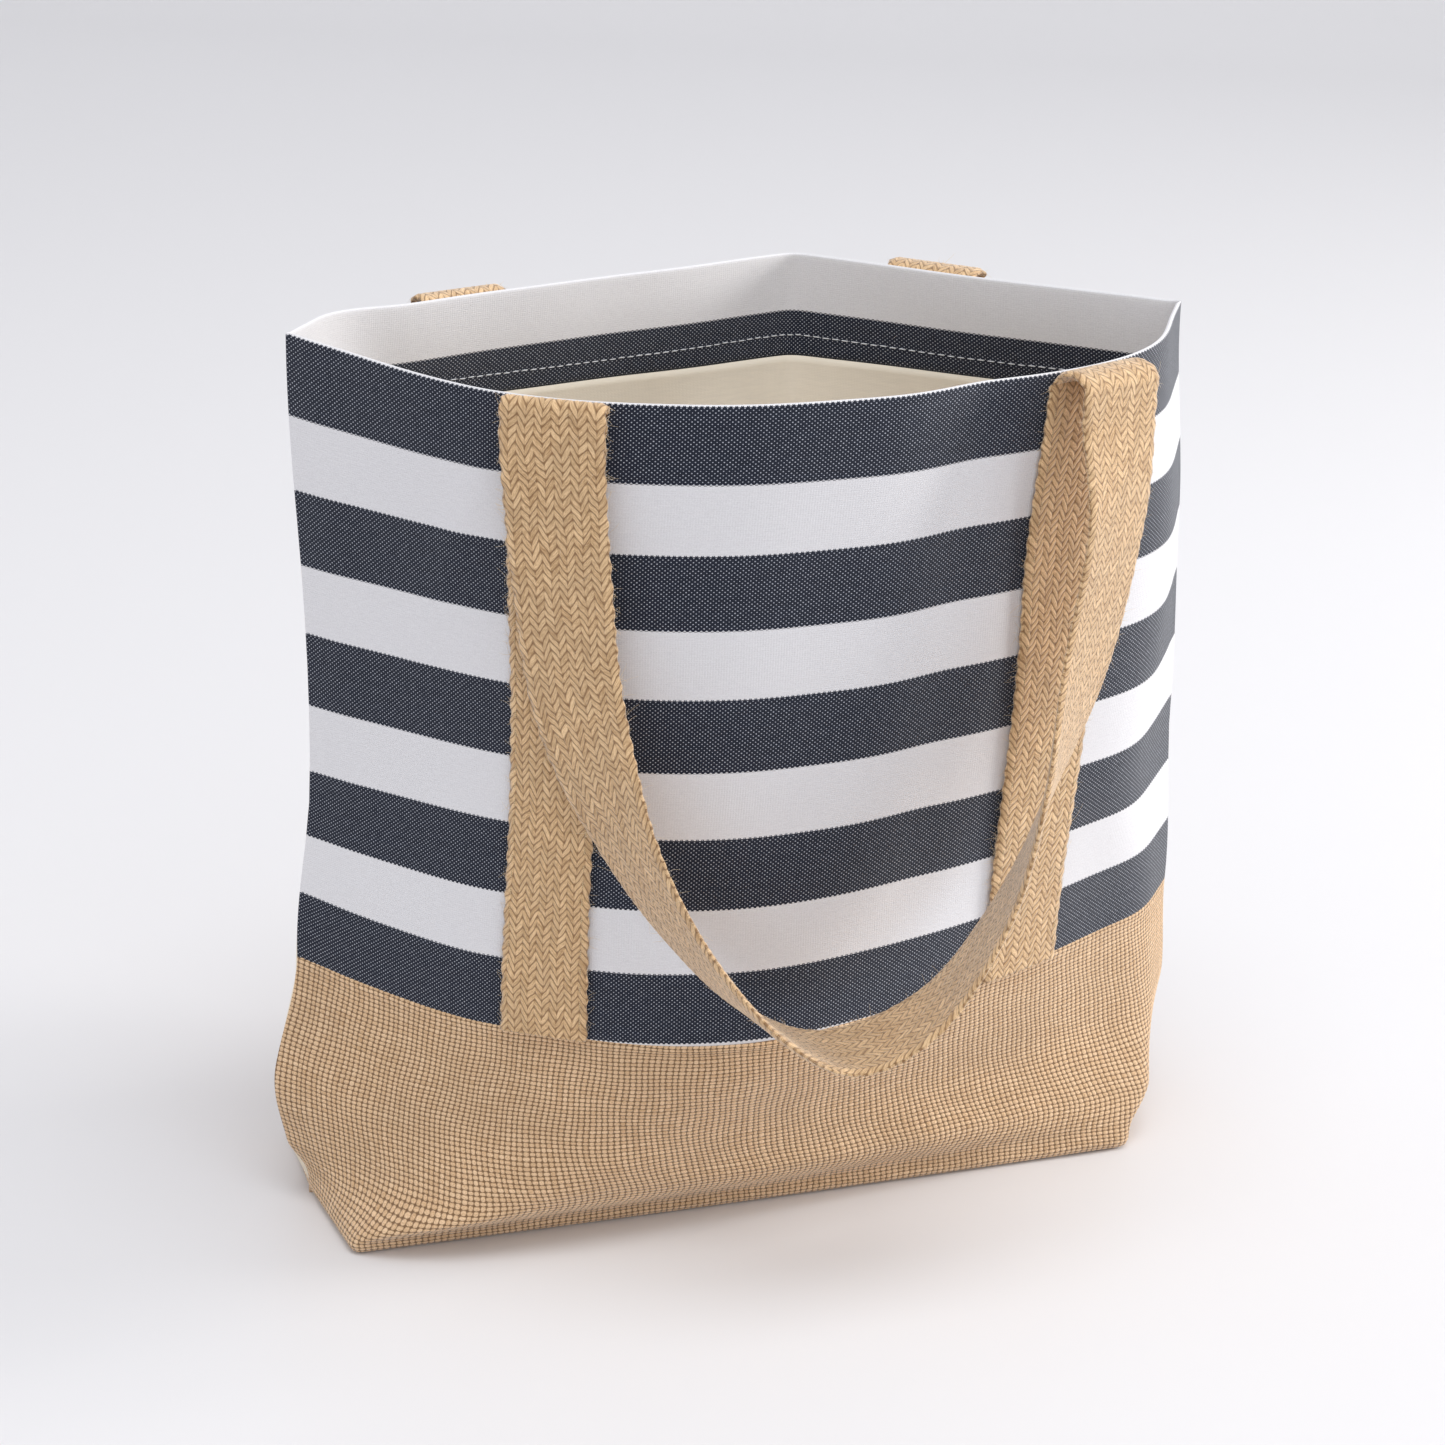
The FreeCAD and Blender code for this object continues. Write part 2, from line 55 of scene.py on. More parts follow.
# ---- Dimensions ----
BAG_HEIGHT = 361.0
FLAT_WIDTH = 462.0
HALF_WIDTH = FLAT_WIDTH / 2
BASE_HEIGHT = 97.5
HEM_DEPTH = 44.0
SEAM_GAP = 0.3
JUTE = 1.5
HEM_INNER = 2.1             # depth of the turned-in hem's inside face
LINING_OUTER = 4.0
LINING = 0.5
LINING_FLOOR = 3.4
WEBBING_WIDTH = 40.0
WEBBING = 3.0
WEBBING_LIFT = 0.5
WEBBING_MIDDLE = -WEBBING_LIFT - WEBBING / 2    # depth of its middle surface
FRONT_STRAPS = (-104.5, 117.5)
BACK_STRAPS = (-106.0, 122.0)
HEM_STITCH_DEPTH = 36.0
THREAD = 0.55
HEM_BEND = BAG_HEIGHT - 1.1      # the height where the hem starts to turn in

# The walls as cloth of constant width: height, shift, left turn (degrees, place, spread), right
# turn (the same), bow and crease in degrees.
FRONT_WALL = (
    (0.0, -10.0, 85, -176, 10, 87, 168, 11, 1, 0),
    (4.0, -10.0, 85, -176, 10, 87, 168, 11, 1, 0),
    (25.0, -2.0, 50, -129, 78, 68, 180, 17, 5, 0),
    (55.0, 3.0, 37, -75, 137, 40, 195, 28, 10, 0),
    (98.0, 6.0, 35, -32, 183, 28, 197, 37, 15, 0),
    (180.0, 6.0, 45, -36, 207, 35, 170, 43, 8, 0),
    (270.0, 2.0, 43, -46, 220, 42, 169, 74, 10, 0),
    (361.0, -5.0, 40, -68, 220, 42, 150, 97, 13, 0),
)
BACK_WALL = (
    (0.0, -10.0, 85, -176, 10, 87, 168, 11, 1, 0),
    (4.0, -10.0, 85, -176, 10, 87, 168, 11, 1, 0),
    (25.0, -2.0, 52, -145, 60, 66, 178, 20, 6, 0),
    (55.0, 3.0, 40, -110, 110, 44, 185, 40, 9, 0),
    (98.0, 6.0, 42, -90, 150, 34, 175, 60, 10, 10),
    (180.0, 6.0, 40, -100, 150, 30, 150, 60, 8, 12),
    (270.0, 2.0, 42, -130, 110, 18, 165, 60, 4, 34),
    (361.0, -5.0, 46, -171, 55, -4, 171, 55, 0, 58),
)
CREASE_PLACE, CREASE_SPREAD, CREASE_LEAN = 60.0, 18.0, 0.25
FINE = 240

# The front loop's centre line below its ends: x, y, z and the compass turn of its width.
HANDLE_PATH = (
    (-111.0, -89.0, 298.0, -39),
    (-104.0, -93.0, 243.0, -47),
    (-90.0, -108.0, 195.0, -66),
    (-68.0, -123.0, 154.0, -75),
    (-39.0, -132.0, 121.0, -80),
    (-5.0, -132.0, 104.0, -90),
    (32.0, -133.0, 119.0, -105),
    (62.0, -128.0, 156.0, -112),
    (83.0, -118.0, 200.0, -124),
    (99.0, -110.0, 250.0, -145),
    (108.0, -108.0, 305.0, -149),
)
STAND_OFF = {"front": (6.5, 18.0), "back": (12.0, 16.0)}
STRAP_TOP = 357.0
CREST_RISE = {"front": 3.0, "back": 1.2}
LOOP_DROP = 13.0
SIDES = ("front", "back")
ACROSS = np.linspace(-WEBBING_WIDTH / 2, WEBBING_WIDTH / 2, 51)
EDGE_COLUMN = len(ACROSS) - 1
STRAPS = {"front": FRONT_STRAPS, "back": BACK_STRAPS}

# Weaves, in millimetres.
STRIPE_NAVY = 30.4
STRIPE_WHITE = 28.0
BURLAP_PITCH = (2.6, 1.75)      # upright and level yarns
BRAID_COLUMN = 3.33
BRAID_PITCH = 3.5
BRAID_SLOPE = 1.35

ONE_TURN = 6.283                # radians, for waves in the materials


# ---- Wall lines ----
def smooth_step(value):
    value = np.clip(value, 0.0, 1.0)
    return value * value * (3 - 2 * value)


def bump_at(value, centre, spread):
    return np.exp(-((value - centre) / spread) ** 2)


def unit(vectors):
    return vectors / np.linalg.norm(vectors, axis=-1, keepdims=True)


def pairs(first, second):
    """A grid of cloth coordinates from two arrays that broadcast together."""
    return np.stack(np.broadcast_arrays(first, second), axis=-1)


def slope_at(table, index, column):
    if index in (0, len(table) - 1):
        return 0.0
    before, here, after = table[index - 1], table[index], table[index + 1]
    below = (here[column] - before[column]) / (here[0] - before[0])
    above = (after[column] - here[column]) / (after[0] - here[0])
    return 0.0 if below * above <= 0 else 2 * below * above / (below + above)


def row_at(table, height):
    height = min(max(height, table[0][0]), table[-1][0])
    index = 0
    while height > table[index + 1][0]:
        index += 1
    low, high = table[index], table[index + 1]
    span = high[0] - low[0]
    t = (height - low[0]) / span
    row = []
    for column in range(len(low)):
        start = slope_at(table, index, column) * span
        end = slope_at(table, index + 1, column) * span
        rise = high[column] - low[column]
        row.append(low[column] + t * start + t ** 2 * (3 * rise - 2 * start - end)
                   + t ** 3 * (start + end - 2 * rise))
    return row


def trace(table, height):
    """Points of a wall at one height, bulging to -Y."""
    _, shift, left, left_at, left_w, right, right_at, right_w, bow, crease = row_at(table, height)
    step = FLAT_WIDTH / FINE
    place = (np.arange(FINE) + 0.5) * step - HALF_WIDTH
    degrees = -left * (1 - smooth_step((place - left_at) / left_w + 0.5))
    degrees += right * smooth_step((place - right_at) / right_w + 0.5)
    degrees += bow * np.clip(place / 150.0, -1, 1)
    degrees += crease * (smooth_step((place - CREASE_PLACE) / CREASE_SPREAD + 0.5) - CREASE_LEAN)
    angle = np.radians(degrees)
    x = np.concatenate([[0.0], np.cumsum(step * np.cos(angle))])
    y = np.concatenate([[0.0], np.cumsum(step * np.sin(angle))])
    share = np.arange(FINE + 1) / FINE
    return np.stack([x - x[-1] / 2 + shift, y - y[-1] * share], axis=1)


WALL_LINES = {}


def wall_line(side, height):
    """A wall's outer line and its inward normals at one height."""
    key = (side, round(float(height), 3))
    if key not in WALL_LINES:
        line = trace(FRONT_WALL, height)
        if side == "back":
            back = trace(BACK_WALL, height)
            scale = (line[-1, 0] - line[0, 0]) / (back[-1, 0] - back[0, 0])
            line = np.stack([line[0, 0] + (back[:, 0] - back[0, 0]) * scale, -back[:, 1]], axis=1)
        along = unit(np.gradient(line, axis=0))
        turned = np.stack([-along[:, 1], along[:, 0]], axis=1)
        WALL_LINES[key] = (line, turned if side == "front" else -turned)
    return WALL_LINES[key]


def cloth_row(side, height, places, depth):
    """Points and outward normals at cloth coordinates on a layer inside the outer surface."""
    line, inward = wall_line(side, height)
    points = line + inward * depth
    first, last = 0.0, float(FINE)
    if depth > 0:
        clear = points[:, 1] * (-1.0 if side == "front" else 1.0) - SEAM_GAP
        inside = np.nonzero(clear > 0)[0]
        first, last = inside[0], inside[-1]
        if inside[0] > 0:
            first -= clear[inside[0]] / (clear[inside[0]] - clear[inside[0] - 1])
        if inside[-1] < FINE:
            last += clear[inside[-1]] / (clear[inside[-1]] - clear[inside[-1] + 1])
    wanted = first + (np.asarray(places) / FLAT_WIDTH + 0.5) * (last - first)
    index = np.arange(FINE + 1)
    row = np.stack([np.interp(wanted, index, points[:, k]) for k in (0, 1)], axis=1)
    out = unit(-np.stack([np.interp(wanted, index, inward[:, k]) for k in (0, 1)], axis=1))
    level = np.full((len(row), 1), float(height))
    return np.hstack([row, level]), np.hstack([out, level * 0])


def sag(side, place, height):
    """How far the soft cloth stands out from the CAD wall, in millimetres."""
    place = np.asarray(place, float)
    flip = 1.0 if side == "front" else -1.0
    wave = 0.55 * np.sin(place / 23.0 + height / 61.0 + flip)
    wave += 0.45 * np.sin(place / 37.0 - height / 47.0 + 2.1 * flip)
    wave += 0.25 * np.sin(place / 11.0 + height / 90.0 + 0.7)
    upper = smooth_step((height - 40.0) / 120.0)
    folds = wave * (0.35 + 0.65 * upper)
    if side == "front":
        line = 62.0 + (height - 240.0) * 0.06
        folds -= 1.6 * bump_at(place, line, 16.0) * smooth_step((height - 110.0) / 80.0)
        folds += 0.9 * bump_at(place, line - 36.0, 18.0) * smooth_step((height - 110.0) / 80.0)
        folds += 0.8 * bump_at(place - (height - 300.0) * 0.4, -150.0, 9.0) * bump_at(height, 310.0, 45.0)
    across = bump_at(place, 20.0, 110.0) if side == "front" else bump_at(place, -10.0, 120.0)
    folds += across * (2.8 * bump_at(height, 24.0, 7.0) - 2.8 * bump_at(height, 11.0, 4.5))
    near_seam = smooth_step((HALF_WIDTH - np.abs(place)) / 22.0)
    return folds * near_seam * smooth_step(height / 7.0)


def settle(row, places):
    """Raise the cloth towards the left side seam and let the rim out a little at the right."""
    height = row[:, 2]
    left = np.clip((-135.0 - places) / 96.0, 0, 1) ** 1.5
    right = smooth_step((places - 110.0) / 121.0)
    moved = np.array(row)
    moved[:, 2] += left * (12.0 * smooth_step(height / 100.0)
                           - 8.0 * smooth_step((height - 105.0) / 85.0)
                           + 3.5 * smooth_step((height - 290.0) / 71.0))
    moved[:, 0] += 3.5 * right * np.clip(height / BAG_HEIGHT, 0, 1)
    return moved


def sheet_rows(side, profile, places):
    """Points and normals of a sheet that follows a profile of (height, depth, floor share)."""
    places = np.asarray(places, float)
    full = abs(places[0]) > HALF_WIDTH - 0.01
    points, normals = [], []
    for height, depth, inward in profile:
        row, out = cloth_row(side, height, places, depth)
        if full:
            line, _ = wall_line(side, height)
            row[0, :2], row[-1, :2] = line[0], line[-1]
        row = row + out * sag(side, places, height)[:, None]
        if inward:
            share = (places / FLAT_WIDTH + 0.5)[:, None]
            centre = row[0] + (row[-1] - row[0]) * share
            centre[:, 1] = 0.0
            row = row + (centre - row) * inward
        points.append(settle(row, places))
        normals.append(out)
    return np.array(points), np.array(normals)


# ---- Meshes ----
def grid_quads(rows, columns, start=0, closed=False, flip=False):
    """Quads between neighbouring points of a grid, wrapping from its last row to its first."""
    row = np.arange(rows if closed else rows - 1)[:, None]
    column = np.arange(columns - 1)[None, :]
    after = (row + 1) % rows
    quads = np.stack([row * columns + column, row * columns + column + 1,
                      after * columns + column + 1, after * columns + column], axis=-1)
    quads = quads.reshape(-1, 4) + start
    return quads[:, ::-1] if flip else quads


def make_mesh(name, points, faces, material, uv=None):
    """A smooth-shaded mesh object from points in millimetres and faces of one size."""
    points = np.asarray(points, float).reshape(-1, 3)
    faces = np.asarray(faces, np.int32)
    size = faces.shape[1]
    mesh = bpy.data.meshes.new(name)
    mesh.vertices.add(len(points))
    mesh.vertices.foreach_set("co", (points * 0.001).astype(np.float32).ravel())
    mesh.loops.add(faces.size)
    mesh.loops.foreach_set("vertex_index", faces.ravel())
    mesh.polygons.add(len(faces))
    mesh.polygons.foreach_set("loop_start", np.arange(len(faces), dtype=np.int32) * size)
    mesh.polygons.foreach_set("loop_total", np.full(len(faces), size, np.int32))
    mesh.polygons.foreach_set("use_smooth", np.ones(len(faces), bool))
    if uv is not None:
        layer = mesh.uv_layers.new(name="cloth")
        flat = np.asarray(uv, np.float32).reshape(-1, 2)[faces.ravel()]
        layer.data.foreach_set("uv", flat.ravel())
    mesh.update(calc_edges=True)
    piece = bpy.data.objects.new(name, mesh)
    bpy.context.scene.collection.objects.link(piece)
    piece.data.materials.append(material)
    return piece


def slab(outer, inner):
    """Points and quads of a closed sheet between two matching grids."""
    rows, columns = outer.shape[:2]
    count = rows * columns
    faces = [grid_quads(rows, columns), grid_quads(rows, columns, count, flip=True)]
    index = np.arange(count).reshape(rows, columns)
    for edge, flip in ((index[0], True), (index[-1], False), (index[:, 0], False), (index[:, -1], True)):
        strip = np.stack([edge[:-1], edge[1:], edge[1:] + count, edge[:-1] + count], axis=1)
        faces.append(strip if not flip else strip[:, ::-1])
    return np.concatenate([outer.reshape(-1, 3), inner.reshape(-1, 3)]), np.concatenate(faces)


def tubes(lines, radii, sides):
    """Points and quads of thin tubes along many lines of equal point count."""
    lines = np.asarray(lines, float)
    count, length = lines.shape[:2]
    along = np.gradient(lines, axis=1)
    along /= np.linalg.norm(along, axis=2)[:, :, None] + 1e-9
    helper = np.where(np.abs(along[..., 2:3]) > 0.9, [1.0, 0.0, 0.0], [0.0, 0.0, 1.0])
    first = unit(np.cross(along, helper))
    second = np.cross(along, first)
    angle = np.arange(sides) * 2 * math.pi / sides
    radii = np.asarray(radii, float)[:, :, None, None]
    ring = first[:, :, None] * np.cos(angle)[:, None] + second[:, :, None] * np.sin(angle)[:, None]
    points = lines[:, :, None] + ring * radii
    base = (np.arange(count) * length * sides)[:, None, None]
    step = (np.arange(length - 1) * sides)[None, :, None]
    turn = np.arange(sides)[None, None, :]
    after = (turn + 1) % sides
    quads = np.stack([base + step + turn, base + step + after,
                      base + step + sides + after, base + step + sides + turn], axis=-1)
    return points.reshape(-1, 3), quads.reshape(-1, 4)


def place_piece(piece, node):
    """The piece rides on the bag and stands in for a CAD node."""
    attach(piece, "bag")
    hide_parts(node)


# ---- Materials ----
class Shader:
    """A material's nodes, built with short calls."""

    def __init__(self, name, roughness, sheen):
        self.material = bpy.data.materials.new(name)
        self.material.use_nodes = True
        self.tree = self.material.node_tree
        self.surface = self.tree.nodes["Principled BSDF"]
        self.surface.inputs["Roughness"].default_value = roughness
        self.surface.inputs["Specular IOR Level"].default_value = 0.2
        self.surface.inputs["Sheen Weight"].default_value = sheen
        self.surface.inputs["Sheen Roughness"].default_value = 0.5

    def node(self, kind, **settings):
        node = self.tree.nodes.new(kind)
        for key, value in settings.items():
            setattr(node, key, value)
        return node

    def put(self, socket, value):
        if isinstance(value, bpy.types.NodeSocket):
            self.tree.links.new(value, socket)
        elif value is not None:
            socket.default_value = value

    def math(self, operation, first, second=None):
        node = self.node("ShaderNodeMath", operation=operation)
        for socket, value in zip(node.inputs, (first, second)):
            self.put(socket, value)
        return node.outputs[0]

    def plus(self, first, second):
        return self.math("ADD", first, second)

    def minus(self, first, second):
        return self.math("SUBTRACT", first, second)

    def times(self, first, second):
        return self.math("MULTIPLY", first, second)

    def over(self, first, second):
        return self.math("DIVIDE", first, second)

    def cloth(self):
        """The cloth coordinates, across and along, in millimetres."""
        split = self.node("ShaderNodeSeparateXYZ")
        self.put(split.inputs[0], self.node("ShaderNodeUVMap", uv_map="cloth").outputs[0])
        return split.outputs[0], split.outputs[1]

    def vector(self, x, y, z=0.0):
        node = self.node("ShaderNodeCombineXYZ")
        for socket, value in zip(node.inputs, (x, y, z)):
            self.put(socket, value)
        return node.outputs[0]

    def noise(self, vector, scale, detail, roughness=0.55):
        node = self.node("ShaderNodeTexNoise")
        self.put(node.inputs["Vector"], vector)
        node.inputs["Scale"].default_value = scale
        node.inputs["Detail"].default_value = detail
        node.inputs["Roughness"].default_value = roughness
        return node.outputs["Fac"]

    def ramp(self, value, low, high, to_low=0.0, to_high=1.0):
        node = self.node("ShaderNodeMapRange", interpolation_type="SMOOTHSTEP")
        for socket, item in zip(node.inputs, (value, low, high, to_low, to_high)):
            self.put(socket, item)
        return node.outputs[0]

    def mix(self, share, first, second):
        node = self.node("ShaderNodeMix", data_type="RGBA")
        self.put(node.inputs["Factor"], share)
        for socket, colour in ((node.inputs["A"], first), (node.inputs["B"], second)):
            self.put(socket, (*colour, 1.0) if isinstance(colour, tuple) else colour)
        return node.outputs["Result"]

    def finish(self, colour, height, strength, distance):
        self.put(self.surface.inputs["Base Color"], colour)
        bump = self.node("ShaderNodeBump")
        bump.inputs["Strength"].default_value = strength
        bump.inputs["Distance"].default_value = distance
        self.put(bump.inputs["Height"], height)
        self.put(self.surface.inputs["Normal"], bump.outputs[0])
        return self.material


def weave_cells(shader, across, along, pitch_across, pitch_along):
    """Cell parity and the distances from the cell's middle, for a plain weave."""
    x = shader.over(across, pitch_across)
    y = shader.over(along, pitch_along)
    cell = shader.plus(shader.math("FLOOR", x), shader.math("FLOOR", y))
    parity = shader.math("FLOORED_MODULO", cell, 2.0)
    off_x = shader.minus(shader.math("FRACT", x), 0.5)
    off_y = shader.minus(shader.math("FRACT", y), 0.5)
    return parity, off_x, off_y


def weave_ridge(shader, off_x, off_y):
    """Rounded tops of the threads of a plain weave."""
    waves = [shader.math("COSINE", shader.times(off, ONE_TURN)) for off in (off_x, off_y)]
    return shader.plus(*waves)


def canvas_material():
    """White warp under navy or white weft, in stripes along the cloth."""
    s = Shader("striped_canvas", roughness=0.85, sheen=0.3)
    across, along = s.cloth()
    jitter = s.noise(s.vector(across, along), 0.35, 1.0)
    parity, off_x, off_y = weave_cells(s, across, along, 1.1, 0.86)
    far = s.plus(*[s.math("POWER", s.over(off, 0.30), 2.0) for off in (off_x, off_y)])
    far = s.plus(far, s.times(s.minus(jitter, 0.5), 1.2))
    speck = s.times(s.ramp(far, 0.35, 1.0, 1.0, 0.0), s.minus(1.0, parity))
    streaks = s.noise(s.vector(s.times(across, 0.05), along), 0.9, 2.0)
    navy = s.mix(streaks, (0.006, 0.008, 0.018), (0.014, 0.019, 0.036))
    navy = s.mix(s.times(speck, 0.9), navy, (0.52, 0.54, 0.60))
    slub = s.noise(s.vector(s.times(across, 0.22), along), 1.1, 3.0)
    grain = s.noise(s.vector(across, along), 1.6, 2.0)
    white = s.mix(slub, (0.66, 0.645, 0.665), (0.80, 0.79, 0.805))
    white = s.mix(s.ramp(grain, 0.35, 0.7, 0.0, 0.6), white, (0.84, 0.83, 0.85))
    edge = s.times(s.minus(parity, 0.5), 0.5)
    place = s.minus(s.plus(along, edge), BAG_HEIGHT - STRIPE_NAVY - 0.4)
    repeat = s.math("FLOORED_MODULO", place, STRIPE_NAVY + STRIPE_WHITE)
    is_white = s.math("GREATER_THAN", repeat, STRIPE_NAVY)
    colour = s.mix(is_white, navy, white)
    ridge = weave_ridge(s, off_x, off_y)
    height = s.plus(s.times(ridge, 0.25), s.times(grain, 0.4))
    return s.finish(colour, height, 0.35, 0.00025)


def burlap_material(name, dark=1.0):
    """Plain-woven jute, with painted shade in the holes between the yarns; the cloth coordinates count
    yarns.
    """
    s = Shader(name, roughness=0.95, sheen=0.35)
    across, along = s.cloth()
    a = s.math("ABSOLUTE", s.math("SINE", s.times(across, math.pi)))
    b = s.math("ABSOLUTE", s.math("SINE", s.times(along, math.pi)))
    cell = s.plus(s.math("FLOOR", across), s.math("FLOOR", along))
    sign = s.minus(s.times(s.math("FLOORED_MODULO", cell, 2.0), 2.0), 1.0)
    up = s.plus(0.55, s.times(s.times(sign, b), 0.45))
    level = s.minus(0.55, s.times(s.times(sign, a), 0.45))
    up = s.times(s.math("POWER", a, 0.55), up)
    level = s.times(s.math("POWER", b, 0.55), level)
    height = s.math("MAXIMUM", up, level)
    on_top = s.math("GREATER_THAN", up, level)
    yarn_up = s.noise(s.vector(s.math("FLOOR", across), s.times(along, 0.10)), 0.83, 2.0)
    yarn_level = s.noise(s.vector(s.times(across, 0.10), s.math("FLOOR", along)), 0.79, 2.0)
    slub = s.plus(s.times(yarn_up, on_top),
                  s.times(yarn_level, s.minus(1.0, on_top)))
    fibre = s.noise(s.vector(across, along), 4.5, 3.0, 0.7)
    patch = s.noise(s.vector(across, along), 0.05, 2.0)
    tone = s.plus(s.times(slub, 0.35), s.times(fibre, 0.65))
    # dark scales the colours down; below 1 it paints shade on a copy of the jute.
    low, high, dull = (tuple(dark * part for part in colour) for colour in (
        (0.60, 0.37, 0.19), (0.97, 0.70, 0.45), (0.60, 0.42, 0.26)))
    yarn = s.mix(s.ramp(tone, 0.32, 0.68), low, high)
    yarn = s.mix(s.ramp(patch, 0.4, 0.65, 0.0, 0.25), yarn, dull)
    # Painted shade: where the weave is low, in the holes between the yarns, the colour is darkened
    # towards deep brown.
    hole = s.ramp(s.plus(height, s.times(fibre, 0.25)), 0.52, 0.86, 0.95, 0.0)
    colour = s.mix(hole, yarn, (0.20, 0.11, 0.052))
    relief = s.plus(height, s.times(fibre, 0.5))
    return s.finish(colour, relief, 0.7, 0.0006)


def webbing_material():
    """Flat braid of jute: columns of slanting strands that lean left and right by turns, with painted
    shade in the grooves.
    """
    s = Shader("jute_webbing", roughness=0.88, sheen=0.45)
    across, along = s.cloth()
    column = s.over(across, BRAID_COLUMN)
    odd = s.math("FLOORED_MODULO", s.math("FLOOR", column), 2.0)
    lean = s.minus(s.times(odd, 2.0), 1.0)
    off = s.minus(s.math("FRACT", column), 0.5)
    rise = s.times(s.times(lean, off), BRAID_COLUMN * BRAID_SLOPE)
    strand = s.over(s.plus(along, rise), BRAID_PITCH)
    middle = s.minus(s.math("FRACT", strand), 0.5)
    ridge = s.math("COSINE", s.times(middle, math.pi))
    ends = s.math("POWER", s.math("ABSOLUTE", s.times(off, 2.0)), 5.0)
    height = s.minus(s.math("POWER", ridge, 0.6), s.times(ends, 0.45))
    fibres = s.noise(s.vector(s.times(strand, 5.0), s.times(off, 2.0),
                              s.math("FLOOR", column)), 1.3, 3.0, 0.7)
    tone_of = s.noise(s.vector(s.math("FLOOR", strand), s.math("FLOOR", column)), 0.73, 1.0)
    patch = s.noise(s.vector(across, along), 0.06, 2.0)
    tone = s.plus(s.times(fibres, 0.65), s.times(tone_of, 0.35))
    strand_colour = s.mix(s.ramp(tone, 0.3, 0.7), (0.44, 0.255, 0.115), (0.97, 0.68, 0.39))
    strand_colour = s.mix(s.ramp(patch, 0.42, 0.62, 0.0, 0.25), strand_colour, (0.62, 0.44, 0.26))
    # Painted shade: the grooves between the strands and at the column edges are darkened towards deep
    # brown.
    groove = s.ramp(s.plus(height, s.times(fibres, 0.25)), 0.30, 0.90, 0.85, 0.0)
    colour = s.mix(groove, strand_colour, (0.26, 0.135, 0.055))
    relief = s.plus(height, s.times(fibres, 0.7))
    return s.finish(colour, relief, 0.6, 0.0005)


def calico_material(name, tint):
    """Plain cream cotton with a fine weave and flecks."""
    s = Shader(name, roughness=0.9, sheen=0.2)
    across, along = s.cloth()
    parity, off_x, off_y = weave_cells(s, across, along, 0.7, 0.7)
    ridge = weave_ridge(s, off_x, off_y)
    slub = s.noise(s.vector(s.times(across, 0.12), along), 0.8, 2.0)
    fleck = s.noise(s.vector(across, along), 0.9, 3.0)
    shade = tuple(0.88 * part for part in tint)
    colour = s.mix(slub, shade, tint)
    colour = s.mix(s.ramp(fleck, 0.68, 0.78, 0.0, 0.5), colour, tuple(0.7 * part for part in tint))
    height = s.plus(s.times(ridge, 0.2), s.times(parity, 0.2))
    return s.finish(colour, height, 0.3, 0.0002)


def thread_material(name, dark, light):
    """Twisted sewing thread, painted darker in the twist's grooves as shade; the second cloth coordinate
    runs along it.
    """
    s = Shader(name, roughness=0.6, sheen=0.3)
    across, along = s.cloth()
    twist = s.math("SINE", s.plus(s.times(along, 9.0), s.times(across, ONE_TURN)))
    # Painted shade: the colour runs from the light to the dark colour into the twist's grooves.
    colour = s.mix(s.ramp(twist, -1.0, 1.0), dark, light)
    return s.finish(colour, twist, 0.4, 0.0001)


def fibre_material():
    """Loose pale jute hairs."""
    s = Shader("jute_hair", roughness=0.7, sheen=0.5)
    across, along = s.cloth()
    tone = s.noise(s.vector(across, along), 3.0, 2.0)
    colour = s.mix(tone, (0.62, 0.43, 0.24), (0.90, 0.74, 0.52))
    return s.finish(colour, tone, 0.2, 0.0001)


CANVAS_CLOTH = canvas_material()
BURLAP = burlap_material("jute_burlap")
# A copy of the jute darkened to 0.9 as painted shade, for the seam allowances inside the bag.
SHADED_BURLAP = burlap_material("jute_seam_allowance", 0.9)
BRAID = webbing_material()
CALICO = calico_material("calico_lining", (0.93, 0.84, 0.70))
# A darker copy of the calico, its tint lowered as painted shade, for the seam allowances inside the bag.
SHADED_CALICO = calico_material("calico_seam_allowance", (0.78, 0.70, 0.57))
# The darker colour of each thread is painted shade in its twist's grooves.
WHITE_THREAD = thread_material("white_thread", (0.60, 0.62, 0.66), (0.88, 0.89, 0.92))
JUTE_THREAD = thread_material("jute_thread", (0.42, 0.28, 0.14), (0.70, 0.52, 0.31))
HAIR = fibre_material()


# ---- Striped canvas ----
def make_panel(side):
    """Canvas from behind the jute up to the rim, folded over and turned in as a hem."""
    places = np.linspace(-HALF_WIDTH, HALF_WIDTH, 211)
    profile, along = [], []
    for height in np.linspace(92.0, HEM_BEND, 114):
        profile.append((height, 0.9 * float(smooth_step((97.0 - height) / 3.0)), 0.0))
        along.append(height)
    bend = HEM_INNER / 2
    for angle in np.radians(np.arange(20, 180, 20)):
        profile.append((HEM_BEND + bend * math.sin(angle), bend * (1 - math.cos(angle)), 0.0))
        along.append(HEM_BEND + bend * angle)
    turned = HEM_BEND + bend * math.pi
    for height in np.linspace(HEM_BEND, BAG_HEIGHT - HEM_DEPTH + 0.4, 20):
        profile.append((height, HEM_INNER, 0.0))
        along.append(turned + HEM_BEND - height)
    for height, depth in ((317.0, 1.9), (317.1, 1.1)):
        profile.append((height, depth, 0.0))
        along.append(turned + HEM_BEND - height)
    for height in np.linspace(310.0, 92.0, 12):
        profile.append((height, 1.3, 0.0))
        along.append(height)
    points, _ = sheet_rows(side, profile, places)
    shift = 1.6 if side == "back" else 0.0
    uv = pairs(places[None, :], np.array(along)[:, None] + shift)
    faces = grid_quads(len(profile), len(places), closed=True, flip=side == "back")
    piece = make_mesh(side + "_canvas", points, faces, CANVAS_CLOTH, uv)
    place_piece(piece, side + "_panel")


